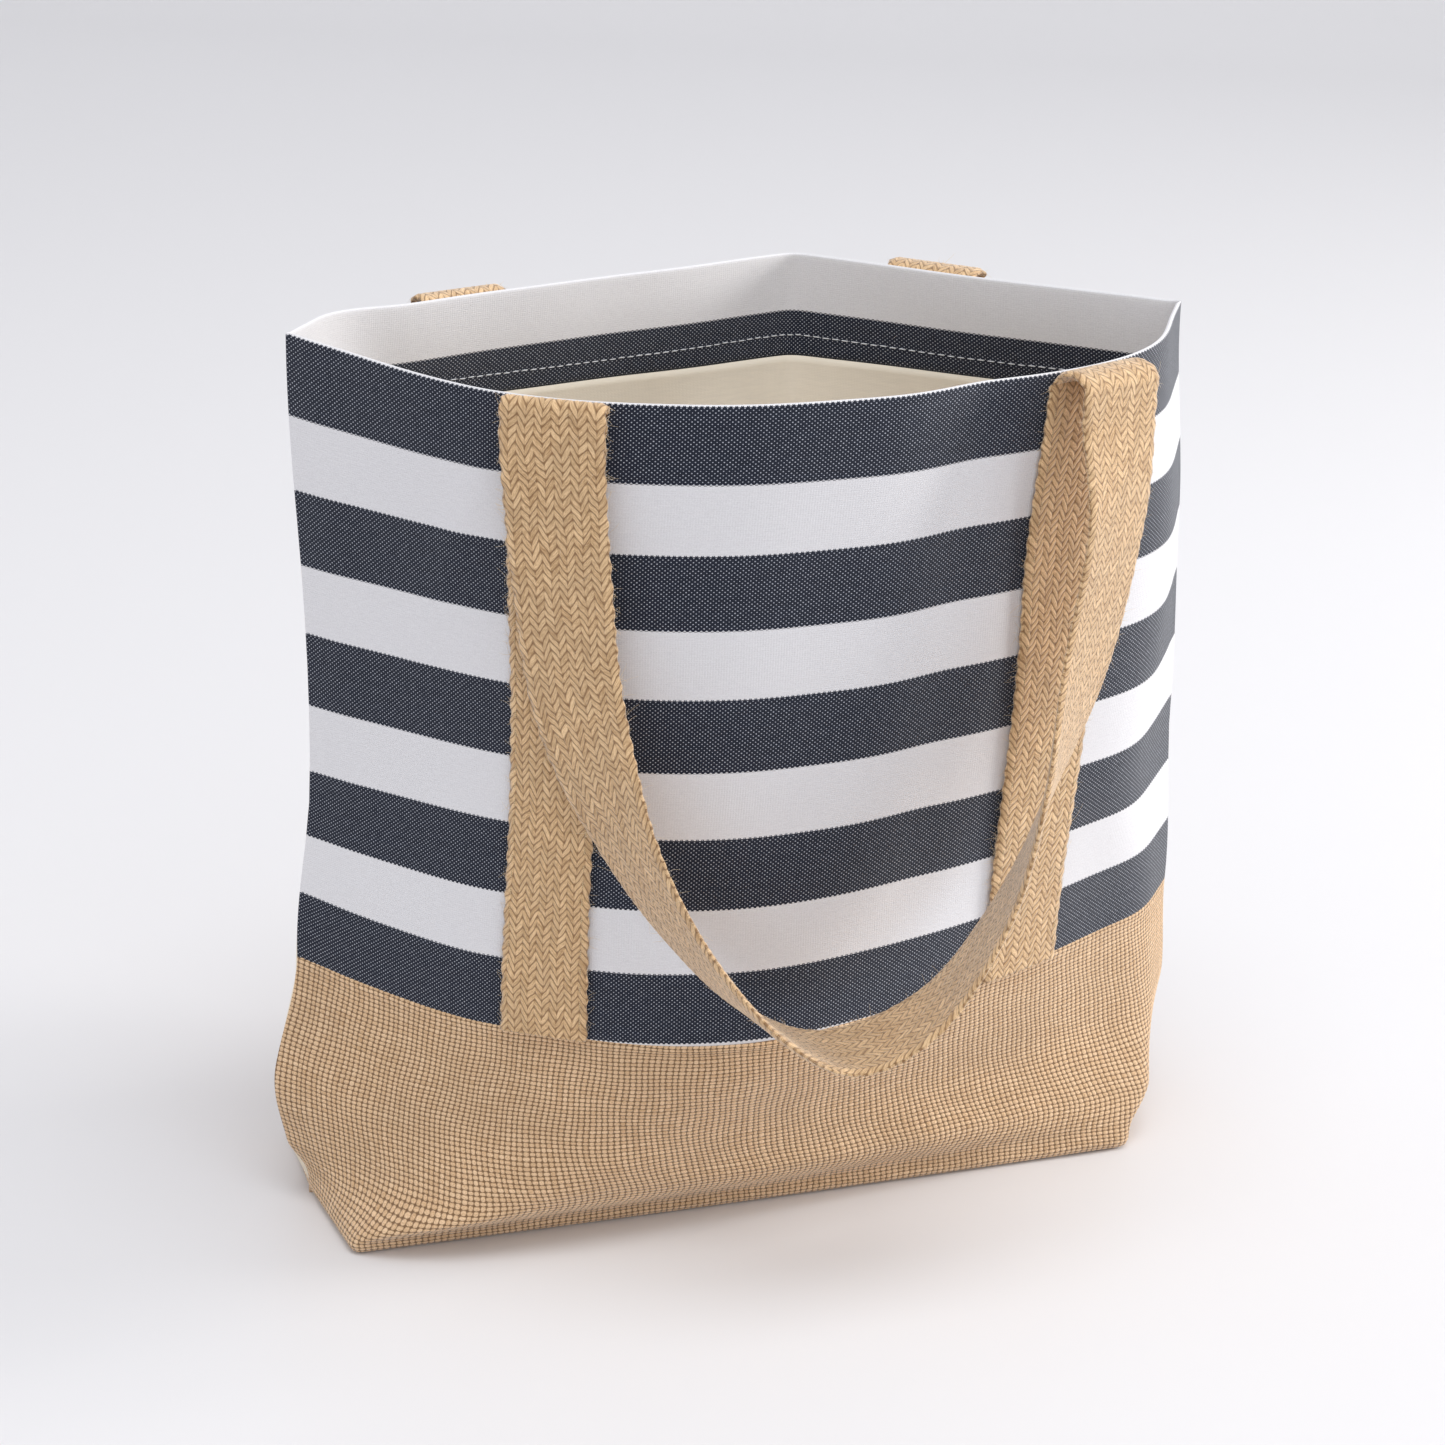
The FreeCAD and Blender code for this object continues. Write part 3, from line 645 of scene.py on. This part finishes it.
# ---- Jute base ----
def burlap_yarns(places, along, generator):
    """Yarn counts across and along at each point, a little irregular, as real jute is."""
    x = places[None, :] / BURLAP_PITCH[0] + 0 * along[:, None]
    y = along[:, None] / BURLAP_PITCH[1] + 0 * places[None, :]
    drift = 0.22 * np.sin(y * 0.11 + 1.7 * np.sin(x * 0.05)) + 0.12 * np.sin(y * 0.43 + x * 0.31)
    lift = 0.20 * np.sin(x * 0.09 + 1.3 * np.sin(y * 0.04)) + 0.12 * np.sin(x * 0.41 + y * 0.27)
    thick_x = generator.normal(0, 0.06, 400)
    thick_y = generator.normal(0, 0.06, 400)
    x = x + drift
    y = y + lift
    x = x + np.interp(x, np.arange(400) - 200.0, thick_x)
    y = y + np.interp(y, np.arange(400) - 100.0, thick_y)
    return x, y


def burlap_relief(x, y):
    """Height of the woven surface, 0 in a hole and 1 on top of a yarn."""
    a, b = np.abs(np.sin(math.pi * x)), np.abs(np.sin(math.pi * y))
    sign = 2.0 * ((np.floor(x) + np.floor(y)) % 2) - 1
    up = a ** 0.55 * (0.6 + 0.4 * sign * b)
    level = b ** 0.55 * (0.6 - 0.4 * sign * a)
    return np.maximum(up, level)


def make_base():
    """The jute walls and floor, with the weave standing in relief on the walls."""
    generator = np.random.default_rng(11)
    points, faces, uvs = [], [], []
    start = 0
    places = np.linspace(-HALF_WIDTH, HALF_WIDTH, 661)
    for side in SIDES:
        profile, along, woven = [], [], []

        def add(height, depth, inward, distance, relief):
            profile.append((height, depth, inward))
            along.append(distance)
            woven.append(relief)

        for height in np.linspace(4.5, BASE_HEIGHT - 0.5, 190):
            add(height, 0.0, 0.0, height, 1.0)
        add(BASE_HEIGHT, 0.35, 0.0, BASE_HEIGHT, 0.4)
        add(BASE_HEIGHT + 0.1, 0.8, 0.0, BASE_HEIGHT + 0.5, 0.2)
        for height in np.linspace(BASE_HEIGHT - 1.5, 6.0, 12):
            add(height, JUTE, 0.0, height, 0.0)
        add(JUTE, 4.5, 0.0, 0.0, 0.0)
        add(JUTE, 4.5, 1.0, -60.0, 0.0)
        add(0.05, 4.5, 1.0, -60.0, 0.0)
        for inward in (0.75, 0.5, 0.25, 0.0):
            add(0.05, 4.5, inward, -60.0 * inward - 2.6, 0.0)
        for angle in np.radians((75, 60, 45, 30, 15)):
            edge = 4.5 * (1 - math.sin(math.pi / 2 - angle))
            add(4.5 * (1 - math.sin(angle)), edge, 0.0, 4.5 - 4.5 * angle, 1.0)
        grid, normals = sheet_rows(side, profile, places)
        along = np.array(along)
        x, y = burlap_yarns(places, along, generator)
        ends = smooth_step((HALF_WIDTH - np.abs(places)) / 3.0)[None, :]
        relief = (burlap_relief(x, y) - 0.6) * 0.75 * np.array(woven)[:, None] * ends
        seam = 0.35 * bump_at(along, BASE_HEIGHT - 2.2, 1.6)[:, None] * np.array(woven)[:, None] * ends
        grid = grid + normals * (relief + seam)[..., None]
        grid[..., 2] = np.maximum(grid[..., 2], 0.05)
        dip = 2.6 * bump_at(places, -20.0, 62.0) * (1 if side == "front" else 0)
        top = smooth_step((along - BASE_HEIGHT + 8.0) / 8.0)[:, None]
        grid[..., 2] -= dip[None, :] * top
        points.append(grid.reshape(-1, 3))
        faces.append(grid_quads(len(profile), len(places), start, closed=True, flip=side == "back"))
        uvs.append(np.stack([x, y], axis=-1).reshape(-1, 2))
        start += len(profile) * len(places)
    piece = make_mesh("jute_base_cloth", np.concatenate(points), np.concatenate(faces), BURLAP,
                      np.concatenate(uvs))
    place_piece(piece, "jute_base")


# ---- Lining ----
def lining_depth(height):
    below = BAG_HEIGHT - HEM_DEPTH - height
    return 1.6 + (LINING_OUTER - 1.6) * float(smooth_step(below / 35.0))


def make_lining(side):
    """Soft lining from the hem's lower edge to the floor, with its own shallow creases."""
    places = np.linspace(-HALF_WIDTH, HALF_WIDTH, 181)
    top = BAG_HEIGHT - HEM_DEPTH - 0.6
    heights = np.concatenate([np.linspace(top, 60.0, 80), np.linspace(57.0, 8.0, 18)])
    profile, along = [], []
    for height in heights:
        profile.append((height, lining_depth(height) + LINING, 0.0))
        along.append(height)
    profile.append((5.0, LINING_OUTER + 1.2, 0.0))
    along.append(5.0)
    for inward in (0.0, 0.25, 0.5, 0.75, 1.0):
        profile.append((LINING_FLOOR + LINING, LINING_OUTER + 4.0, inward))
        along.append(-60.0 * inward)
    for inward in (1.0, 0.0):
        profile.append((LINING_FLOOR, LINING_OUTER + 4.0, inward))
        along.append(-60.0 * inward)
    for height in np.linspace(6.0, top, 16):
        profile.append((height, lining_depth(height), 0.0))
        along.append(height)
    grid, normals = sheet_rows(side, profile, places)
    along = np.array(along)
    visible = np.arange(len(profile))[:, None] < len(heights)
    u, z = places[None, :], along[:, None]
    crease = 1.1 * bump_at(np.sin(u / 19.0 + z / 43.0), 1.0, 0.35)
    crease = crease + 0.8 * bump_at(np.sin(u / 31.0 - z / 29.0 + 1.0), 1.0, 0.3)
    crease = crease + 0.5 * bump_at(np.sin(z / 13.0 + u / 60.0), 1.0, 0.4)
    free = smooth_step((top - z) / 30.0) * smooth_step((HALF_WIDTH - np.abs(u)) / 30.0)
    free = free * smooth_step((z - 8.0) / 15.0)
    grid = grid - normals * (crease * free * visible)[..., None]
    uv = pairs(u, z)
    faces = grid_quads(len(profile), len(places), closed=True, flip=side == "front")
    piece = make_mesh(side + "_lining_cloth", grid, faces, CALICO, uv)
    place_piece(piece, side + "_lining")


# ---- Seam allowances ----
def make_allowance(node, side, places, heights, depth, thickness, material):
    """A strip of cloth pressed flat inside the wall, its raw edge slightly uneven."""
    fray = 0.35 * np.sin(np.arange(len(heights)) * 1.7)[:, None]
    outer_profile = [(height, depth, 0.0) for height in heights]
    inner_profile = [(height, depth + thickness, 0.0) for height in heights]
    outer, _ = sheet_rows(side, outer_profile, places)
    inner, _ = sheet_rows(side, inner_profile, places)
    outer[:, 0, :2] += fray
    inner[:, 0, :2] += fray
    if side == "back":
        outer, inner = inner, outer
    points, faces = slab(outer, inner)
    uv = pairs(places[None, :], heights[:, None]).reshape(-1, 2)
    uv = np.concatenate([uv, uv])
    piece = make_mesh(node + "_cloth", points, faces, material, uv)
    place_piece(piece, node)


def make_floor_strip(node, along_x, material):
    """A seam allowance lying on the jute floor, rippled a little along its length."""
    low, high = (np.array(corner) * 1000.0 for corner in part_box(node))
    count = 60
    length = np.linspace(low[0], high[0], count) if along_x else np.linspace(low[1], high[1], count)
    width = np.linspace(low[1], high[1], 6) if along_x else np.linspace(low[0], high[0], 6)
    ripple = 0.12 * np.sin(length / 5.0)[:, None] + 0 * width[None, :]
    a, b = np.broadcast_arrays(length[:, None], width[None, :])
    x, y = (a, b) if along_x else (b, a)
    grids = []
    for level in (high[2] - 0.15, low[2] + 0.15):
        grids.append(np.stack([x, y, level + ripple], axis=-1))
    points, faces = slab(*(grids if not along_x else grids[::-1]))
    uv = np.stack([x, y], axis=-1).reshape(-1, 2)
    piece = make_mesh(node + "_cloth", points, faces, material, np.concatenate([uv, uv]))
    place_piece(piece, node)


def make_allowances():
    rows = np.linspace(30.0, 280.0, 70)
    for name, end in (("left", -1), ("right", 1)):
        places = np.sort(end * np.linspace(HALF_WIDTH - 17.0, HALF_WIDTH - 6.0, 6))
        make_allowance(name + "_side_seam", "back", places, rows, 2.0, 1.2,
                       CANVAS_CLOTH)
        places = np.sort(end * np.linspace(HALF_WIDTH - 19.0, HALF_WIDTH - 8.0, 6))
        make_allowance(name + "_lining_seam", "front", places, rows[:-1], 2.2, 1.0,
                       SHADED_CALICO)
        make_floor_strip(name + "_corner_seam", False, SHADED_BURLAP)
    for side in SIDES:
        places = np.linspace(-HALF_WIDTH + 26.0, HALF_WIDTH - 26.0, 140)
        make_allowance(side + "_base_seam", side, places, np.linspace(86.5, 96.0, 6), 2.0, 1.2,
                       CANVAS_CLOTH)
    make_floor_strip("lining_floor_seam", True, SHADED_CALICO)


# ---- Webbing ----
def catmull_rom(rows, steps):
    rows = np.asarray(rows, float)
    result = []
    for index in range(len(rows) - 1):
        p, q = rows[max(index - 1, 0)], rows[index]
        r, s = rows[index + 1], rows[min(index + 2, len(rows) - 1)]
        for t in np.arange(steps) / steps:
            result.append(0.5 * (2 * q + (r - p) * t + (2 * p - 5 * q + 4 * r - s) * t ** 2
                                 + (3 * q - p - 3 * r + s) * t ** 3))
    result.append(rows[-1])
    return np.array(result)


def strap_frame(side, place):
    """The middle of a strap just below the rim, its width direction to the right, and the way out."""
    reach = WEBBING_WIDTH / 2
    places = place + np.linspace(-reach, reach, 5)
    row, _ = cloth_row(side, STRAP_TOP, places, WEBBING_MIDDLE)
    width = unit(row[-1] - row[0])
    outward = np.cross(width, (0.0, 0.0, 1.0 if side == "front" else -1.0))
    return row[2], width, outward


def fold_row(side, place, stand_off, angle):
    """Centre, width direction and face normal of the webbing at an angle round its fold."""
    start, width, outward = strap_frame(side, place)
    half_out = (stand_off + WEBBING_MIDDLE) / 2
    height = CREST_RISE[side] + half_out / 3
    up = np.array((0.0, 0.0, 1.0))
    centre = start + outward * half_out * (1 - math.cos(angle)) + up * height * math.sin(angle)
    normal = up * half_out * math.sin(angle) - outward * height * math.cos(angle)
    return centre, width, unit(normal)


def loop_path(side):
    """Rows of the free loop's path: x, y, z and turn."""
    sign = -180 if side == "front" else 180
    rows = [list(row) for row in HANDLE_PATH]
    if side == "back":
        rows = [[4.0 + 0.96 * x, -y - 0.07 * x, z, -turn] for x, y, z, turn in rows]
    ends = []
    for place, stand_off, half_turn in zip(STRAPS[side], STAND_OFF[side], (0, sign)):
        start, width, outward = strap_frame(side, place)
        point = start + outward * (stand_off + WEBBING_MIDDLE)
        turn = math.degrees(math.atan2(width[1], width[0])) + half_turn
        drops = (0.0, 0.15 * LOOP_DROP, 0.45 * LOOP_DROP, LOOP_DROP)
        ends.append([[point[0], point[1], STRAP_TOP - drop, turn] for drop in drops])
    middle = catmull_rom([ends[0][-1]] + rows + [ends[1][-1]], 12)
    return np.vstack([ends[0][:-1], middle, ends[1][-2::-1]])


def sewn_rows(side, place, heights):
    """Points and normals of the webbing where it is sewn to the wall, one row at each height."""
    points, normals = [], []
    for height in heights:
        row, out = cloth_row(side, height, place + ACROSS, WEBBING_MIDDLE)
        row = row + out * sag(side, place + ACROSS, height)[:, None]
        points.append(settle(row, place + ACROSS))
        normals.append(-out)
    return np.array(points), np.array(normals)


def fold_rows(side, place, stand_off, angles, reach):
    """Points and normals of the webbing round its fold at the rim."""
    _, _, outward = strap_frame(side, place)
    points, normals = [], []
    for angle in angles:
        centre, width, normal = fold_row(side, place, stand_off, angle)
        lift = sag(side, place + reach, STRAP_TOP) * (1 + math.cos(angle)) / 2
        row = centre + width * reach[:, None]
        points.append(settle(row + outward * lift[:, None], place + reach))
        normals.append(np.broadcast_to(-normal, row.shape))
    return np.array(points), np.array(normals)


def smoothed(values):
    kernel = np.hanning(13)
    return np.convolve(np.pad(values, 6, mode="edge"), kernel / kernel.sum(), mode="valid")


def loop_rows(side):
    """Points and normals of the free loop, in rows evenly spaced along its path."""
    path = loop_path(side)
    steps = np.linalg.norm(np.diff(path[:, :3], axis=0), axis=1)
    along = np.concatenate([[0.0], np.cumsum(steps)])
    wanted = np.linspace(0.0, along[-1], 780)
    path = np.stack([np.interp(wanted, along, path[:, k]) for k in range(4)], axis=1)
    forward = np.gradient(path[:, :3], axis=0)
    forward = unit(np.stack([smoothed(forward[:, axis]) for axis in range(3)], axis=1))
    facing = 1.0 if side == "front" else -1.0
    points, normals = [], []
    for centre, turn, ahead in zip(path[:, :3], np.radians(smoothed(path[:, 3])), forward):
        width = np.array((math.cos(turn), math.sin(turn), 0.0))
        width = unit(width - ahead * width.dot(ahead))
        points.append(centre + width * ACROSS[:, None])
        normals.append(np.broadcast_to(np.cross(ahead, width) * -facing, points[-1].shape))
    return np.array(points), np.array(normals)


def band_rows(side, heights, angles):
    """The webbing's middle surface from one sewn end over both folds to the other."""
    (left, right), (left_off, right_off) = STRAPS[side], STAND_OFF[side]
    far_points, far_normals = sewn_rows(side, right, heights)
    parts = (
        sewn_rows(side, left, heights),
        fold_rows(side, left, left_off, angles, ACROSS),
        loop_rows(side),
        fold_rows(side, right, right_off, angles[::-1], -ACROSS),
        (far_points[::-1, ::-1], far_normals[::-1, ::-1]),
    )
    points = np.concatenate([part[0] for part in parts])
    normals = np.concatenate([part[1] for part in parts])
    return points, unit(normals)


def make_handle(side):
    """One length of braided webbing: sewn, folded over the rim, hanging, and sewn again."""
    heights = np.linspace(BASE_HEIGHT - 0.8, STRAP_TOP - 1.0, 320)
    angles = np.radians(np.arange(15, 180, 7.5))
    points, normals = band_rows(side, heights, angles)
    middle = points[:, EDGE_COLUMN // 2]
    along = np.concatenate([[0.0], np.cumsum(np.linalg.norm(np.diff(middle, axis=0), axis=1))])
    u, v = np.broadcast_arrays(ACROSS[None, :], along[:, None])
    u = u + 0.35 * np.sin(v / 17.0) + 0.35 * np.sin(v / 5.3 + u / 6.0) + 0.2 * np.sin(v / 2.1 + u)
    v = v + 0.6 * np.sin(u / 4.1 + v / 11.0) + 0.45 * np.sin(u / 1.9 - v / 7.0) + 0.3 * np.sin(v / 3.1)
    edge = smooth_step((WEBBING_WIDTH / 2 - np.abs(ACROSS)) / 2.2)[None, :]
    thick = (WEBBING / 2 - 0.45) * (0.45 + 0.55 * edge) + 0.45 * braid_relief(u, v) * edge
    ragged = 0.35 * np.sin(v / 1.3) * (np.abs(ACROSS)[None, :] > 19.0) * np.sign(ACROSS)[None, :]
    points = points + unit(np.gradient(points, axis=1)) * ragged[..., None]
    outer = points + normals * thick[..., None]
    inner = points - normals * thick[..., None]
    grid_points, faces = slab(outer, inner)
    if side == "front":
        faces = faces[:, ::-1]
    uv = np.stack([u, v], axis=-1).reshape(-1, 2)
    piece = make_mesh(side + "_webbing", grid_points, faces, BRAID, np.concatenate([uv, uv]))
    share = loop_share(along, len(heights), len(angles))
    hang(piece)
    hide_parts(side + "_left_strap", side + "_right_strap", side + "_handle")
    make_hairs(side, points, normals, share)


def loop_share(along, sewn, turning):
    """How much each row follows the loop: nothing where sewn, all a little past the fold."""
    fold_start, fold_end = along[sewn], along[sewn + turning - 1]
    into = smooth_step((along - fold_start + 1.0) / (fold_end - fold_start + 10.0))
    fold_start, fold_end = along[-sewn - turning], along[-sewn - 1]
    out = smooth_step((fold_end - along + 1.0) / (fold_end - fold_start + 10.0))
    return np.minimum(into, out)


def hang(piece):
    """Bakes the piece's transform into its mesh."""
    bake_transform(piece)


def braid_relief(u, v):
    """Height of the braid, 0 in a groove and 1 on top of a strand."""
    column = u / BRAID_COLUMN
    lean = 2.0 * (np.floor(column) % 2) - 1
    off = column - np.floor(column) - 0.5
    strand = (v + lean * off * BRAID_COLUMN * BRAID_SLOPE) / BRAID_PITCH
    ridge = np.cos(math.pi * (strand - np.floor(strand) - 0.5)) ** 0.6
    return np.clip(ridge - 0.45 * np.abs(2 * off) ** 5, 0, 1)


def make_hairs(side, points, normals, share):
    """Pale loose hairs, thickest along the webbing's edges."""
    generator = np.random.default_rng(3 if side == "front" else 4)
    count = 2600
    rows = generator.integers(2, len(points) - 2, count)
    edge = generator.random(count) < 0.6
    columns = np.where(edge, np.where(generator.random(count) < 0.5, 0, EDGE_COLUMN),
                       generator.integers(3, 48, count))
    face = np.where(generator.random(count) < 0.5, 1.0, -1.0)
    outward = np.where(share[rows] < 0.01, 1.0, face)
    root = points[rows, columns]
    normal = normals[rows, columns] * outward[:, None]
    forward = points[np.minimum(rows + 1, len(points) - 1), columns] - points[rows - 1, columns]
    forward = unit(forward)
    across = np.cross(normal, forward)
    aside = np.where(columns == 0, -1.0, np.where(columns == EDGE_COLUMN, 1.0, 0.0))
    reference = points[rows, EDGE_COLUMN] - points[rows, 0]
    across *= np.sign(np.sum(across * reference, axis=1))[:, None]
    lie = forward * generator.normal(0, 1.0, count)[:, None]
    away = across * (aside * generator.uniform(0.3, 1.2, count)
                     + generator.normal(0, 0.45, count))[:, None]
    away = away + normal * generator.uniform(0.15, 0.7, count)[:, None]
    length = generator.gamma(3.0, 0.85, count)
    direction = unit(lie + away)
    curl = np.cross(direction, normal) * generator.normal(0, 0.35, count)[:, None]
    steps = np.linspace(0, 1, 5)
    root = root + normal * 1.2 * (aside == 0)[:, None]
    lines = (root[:, None] + direction[:, None] * (length[:, None] * steps)[..., None]
             + curl[:, None] * (length[:, None] * steps ** 2)[..., None])
    radii = 0.075 * (1 - 0.6 * steps)[None, :] * np.ones((count, 1))
    hair_points, faces = tubes(lines, radii, 3)
    tone = np.repeat(generator.random(count) * 50, 5 * 3)
    uv = np.stack([tone, np.tile(np.repeat(steps, 3), count)], axis=-1)
    piece = make_mesh(side + "_webbing_hairs", hair_points, faces, HAIR, uv)
    hang(piece)


# ---- Stitching ----
def stitch_lines(side, places, heights, depth, arch):
    """Short arched stitches between pairs of cloth coordinates."""
    lines = []
    for (place_0, place_1), (height_0, height_1) in zip(places, heights):
        line = []
        for share in (0.0, 0.25, 0.5, 0.75, 1.0):
            place = place_0 + (place_1 - place_0) * share
            height = height_0 + (height_1 - height_0) * share
            row, out = cloth_row(side, height, [place], max(depth, 0.0))
            stand = arch * math.sin(math.pi * share) - 0.25
            rise = sag(side, [place], height)[0] + (-stand if depth > 0 else stand - depth)
            line.append(settle(row + out * rise, np.array([place]))[0])
        lines.append(line)
    return lines


def make_stitching(name, node, lines, material, radius):
    lines = np.array(lines)
    points, faces = tubes(lines, np.full(lines.shape[:2], radius), 6)
    turn = np.tile(np.arange(6) / 6.0, lines.shape[0] * lines.shape[1])
    along = np.tile(np.repeat(np.linspace(0, 3.0, lines.shape[1]), 6), lines.shape[0])
    piece = make_mesh(name, points, faces, material, np.stack([turn, along], axis=-1))
    place_piece(piece, node)


def make_hem_stitching():
    generator = np.random.default_rng(7)
    lines = []
    for side in SIDES:
        starts = np.arange(-HALF_WIDTH + 8.0, HALF_WIDTH - 9.0, 4.4)
        wander = 0.5 * np.sin(starts / 31.0) + generator.normal(0, 0.08, len(starts))
        level = BAG_HEIGHT - HEM_STITCH_DEPTH + wander
        places = [(start, start + 3.1) for start in starts]
        heights = [(z, z) for z in level]
        lines += stitch_lines(side, places, heights, HEM_INNER, 0.35)
    make_stitching("hem_stitches", "hem_stitching", lines, WHITE_THREAD, THREAD / 2)


def make_strap_stitching():
    lines = []
    surface = -WEBBING_LIFT - WEBBING + 0.15
    for side in SIDES:
        for place in (centre + edge for centre in STRAPS[side] for edge in (-17.0, 17.0)):
            levels = np.arange(BASE_HEIGHT + 6.0, BAG_HEIGHT - 12.0, 7.5)
            places = [(place, place)] * len(levels)
            heights = [(z, z + 3.2) for z in levels]
            lines += stitch_lines(side, places, heights, surface, 0.25)
    make_stitching("strap_stitches", "strap_stitching", lines, JUTE_THREAD, 0.28)


# ---- Build the pieces ----
for wall in SIDES:
    make_panel(wall)
    make_lining(wall)
    make_handle(wall)
make_base()
make_allowances()
make_hem_stitching()
make_strap_stitching()


# ---- Floor, light and camera ----
def plain_material(name, colour, roughness):
    s = Shader(name, roughness, 0.0)
    where = s.node("ShaderNodeNewGeometry").outputs["Position"]
    cloud = s.noise(where, 1.2, 2.0)
    tone = s.mix(cloud, tuple(0.985 * part for part in colour), colour)
    return s.finish(tone, cloud, 0.0, 0.0001)


def make_backdrop():
    """A pale sweep: a floor that curves up into a wall far behind the bag."""
    width = np.linspace(-9000.0, 9000.0, 3)
    profile = [(-6000.0, 0.0), (2600.0, 0.0)]
    for angle in np.radians(np.arange(10, 91, 10)):
        profile.append((2600.0 + 1400.0 * math.sin(angle), 1400.0 * (1 - math.cos(angle))))
    profile.append((4000.0, 9000.0))
    turn = math.radians(-21.0)
    points = []
    for forward, up in profile:
        for side in width:
            points.append((side * math.cos(turn) - forward * math.sin(turn),
                           side * math.sin(turn) + forward * math.cos(turn), up - 0.05))
    piece = make_mesh("backdrop", points, grid_quads(len(profile), 3),
                      plain_material("backdrop_paper", (0.80, 0.79, 0.80), 0.35))


def area_light(name, place, target, size, power, colour):
    light = bpy.data.lights.new(name, "AREA")
    light.shape = "DISK"
    light.size = size
    light.energy = power
    light.color = colour
    lamp = bpy.data.objects.new(name, light)
    bpy.context.scene.collection.objects.link(lamp)
    lamp.matrix_world = look_at(place, target)


def look_at(place, target, roll=0.0):
    """A matrix at a place that looks down its own -Z at a target, rolled about that line."""
    back = unit(np.array(place, float) - np.array(target, float))
    right = unit(np.cross((0.0, 0.0, 1.0), back))
    up = np.cross(back, right)
    turned_right = right * math.cos(roll) + up * math.sin(roll)
    turned_up = up * math.cos(roll) - right * math.sin(roll)
    matrix = Matrix.Identity(4)
    for row in range(3):
        matrix[row][0] = turned_right[row]
        matrix[row][1] = turned_up[row]
        matrix[row][2] = back[row]
        matrix[row][3] = place[row]
    return matrix


def make_light():
    world = bpy.data.worlds.new("studio")
    bpy.context.scene.world = world
    world.use_nodes = True
    background = world.node_tree.nodes["Background"]
    background.inputs["Color"].default_value = (0.90, 0.915, 0.95, 1.0)
    background.inputs["Strength"].default_value = 0.88
    aim = (0.0, 0.0, 0.18)
    area_light("window", (2.5, -0.35, 0.95), aim, 0.9, 42.0, (1.0, 0.985, 0.96))
    area_light("top", (-0.1, -0.5, 2.6), (0.0, 0.1, 0.3), 1.6, 22.0, (0.98, 0.99, 1.0))


def make_camera():
    azimuth, elevation, distance = math.radians(21.07), math.radians(21.3), 1.4077
    target = np.array((-0.0101, 0.0, 0.1926))
    back = np.array((-math.sin(azimuth) * math.cos(elevation),
                     -math.cos(azimuth) * math.cos(elevation), math.sin(elevation)))
    data = bpy.data.cameras.new("camera")
    data.sensor_width = 36.0
    data.lens = 84.8778
    camera = bpy.data.objects.new("camera", data)
    bpy.context.scene.collection.objects.link(camera)
    camera.matrix_world = look_at(target + back * distance, target, math.radians(2.31))
    bpy.context.scene.camera = camera


make_backdrop()
make_light()
make_camera()
bpy.context.scene.view_settings.view_transform = "Standard"
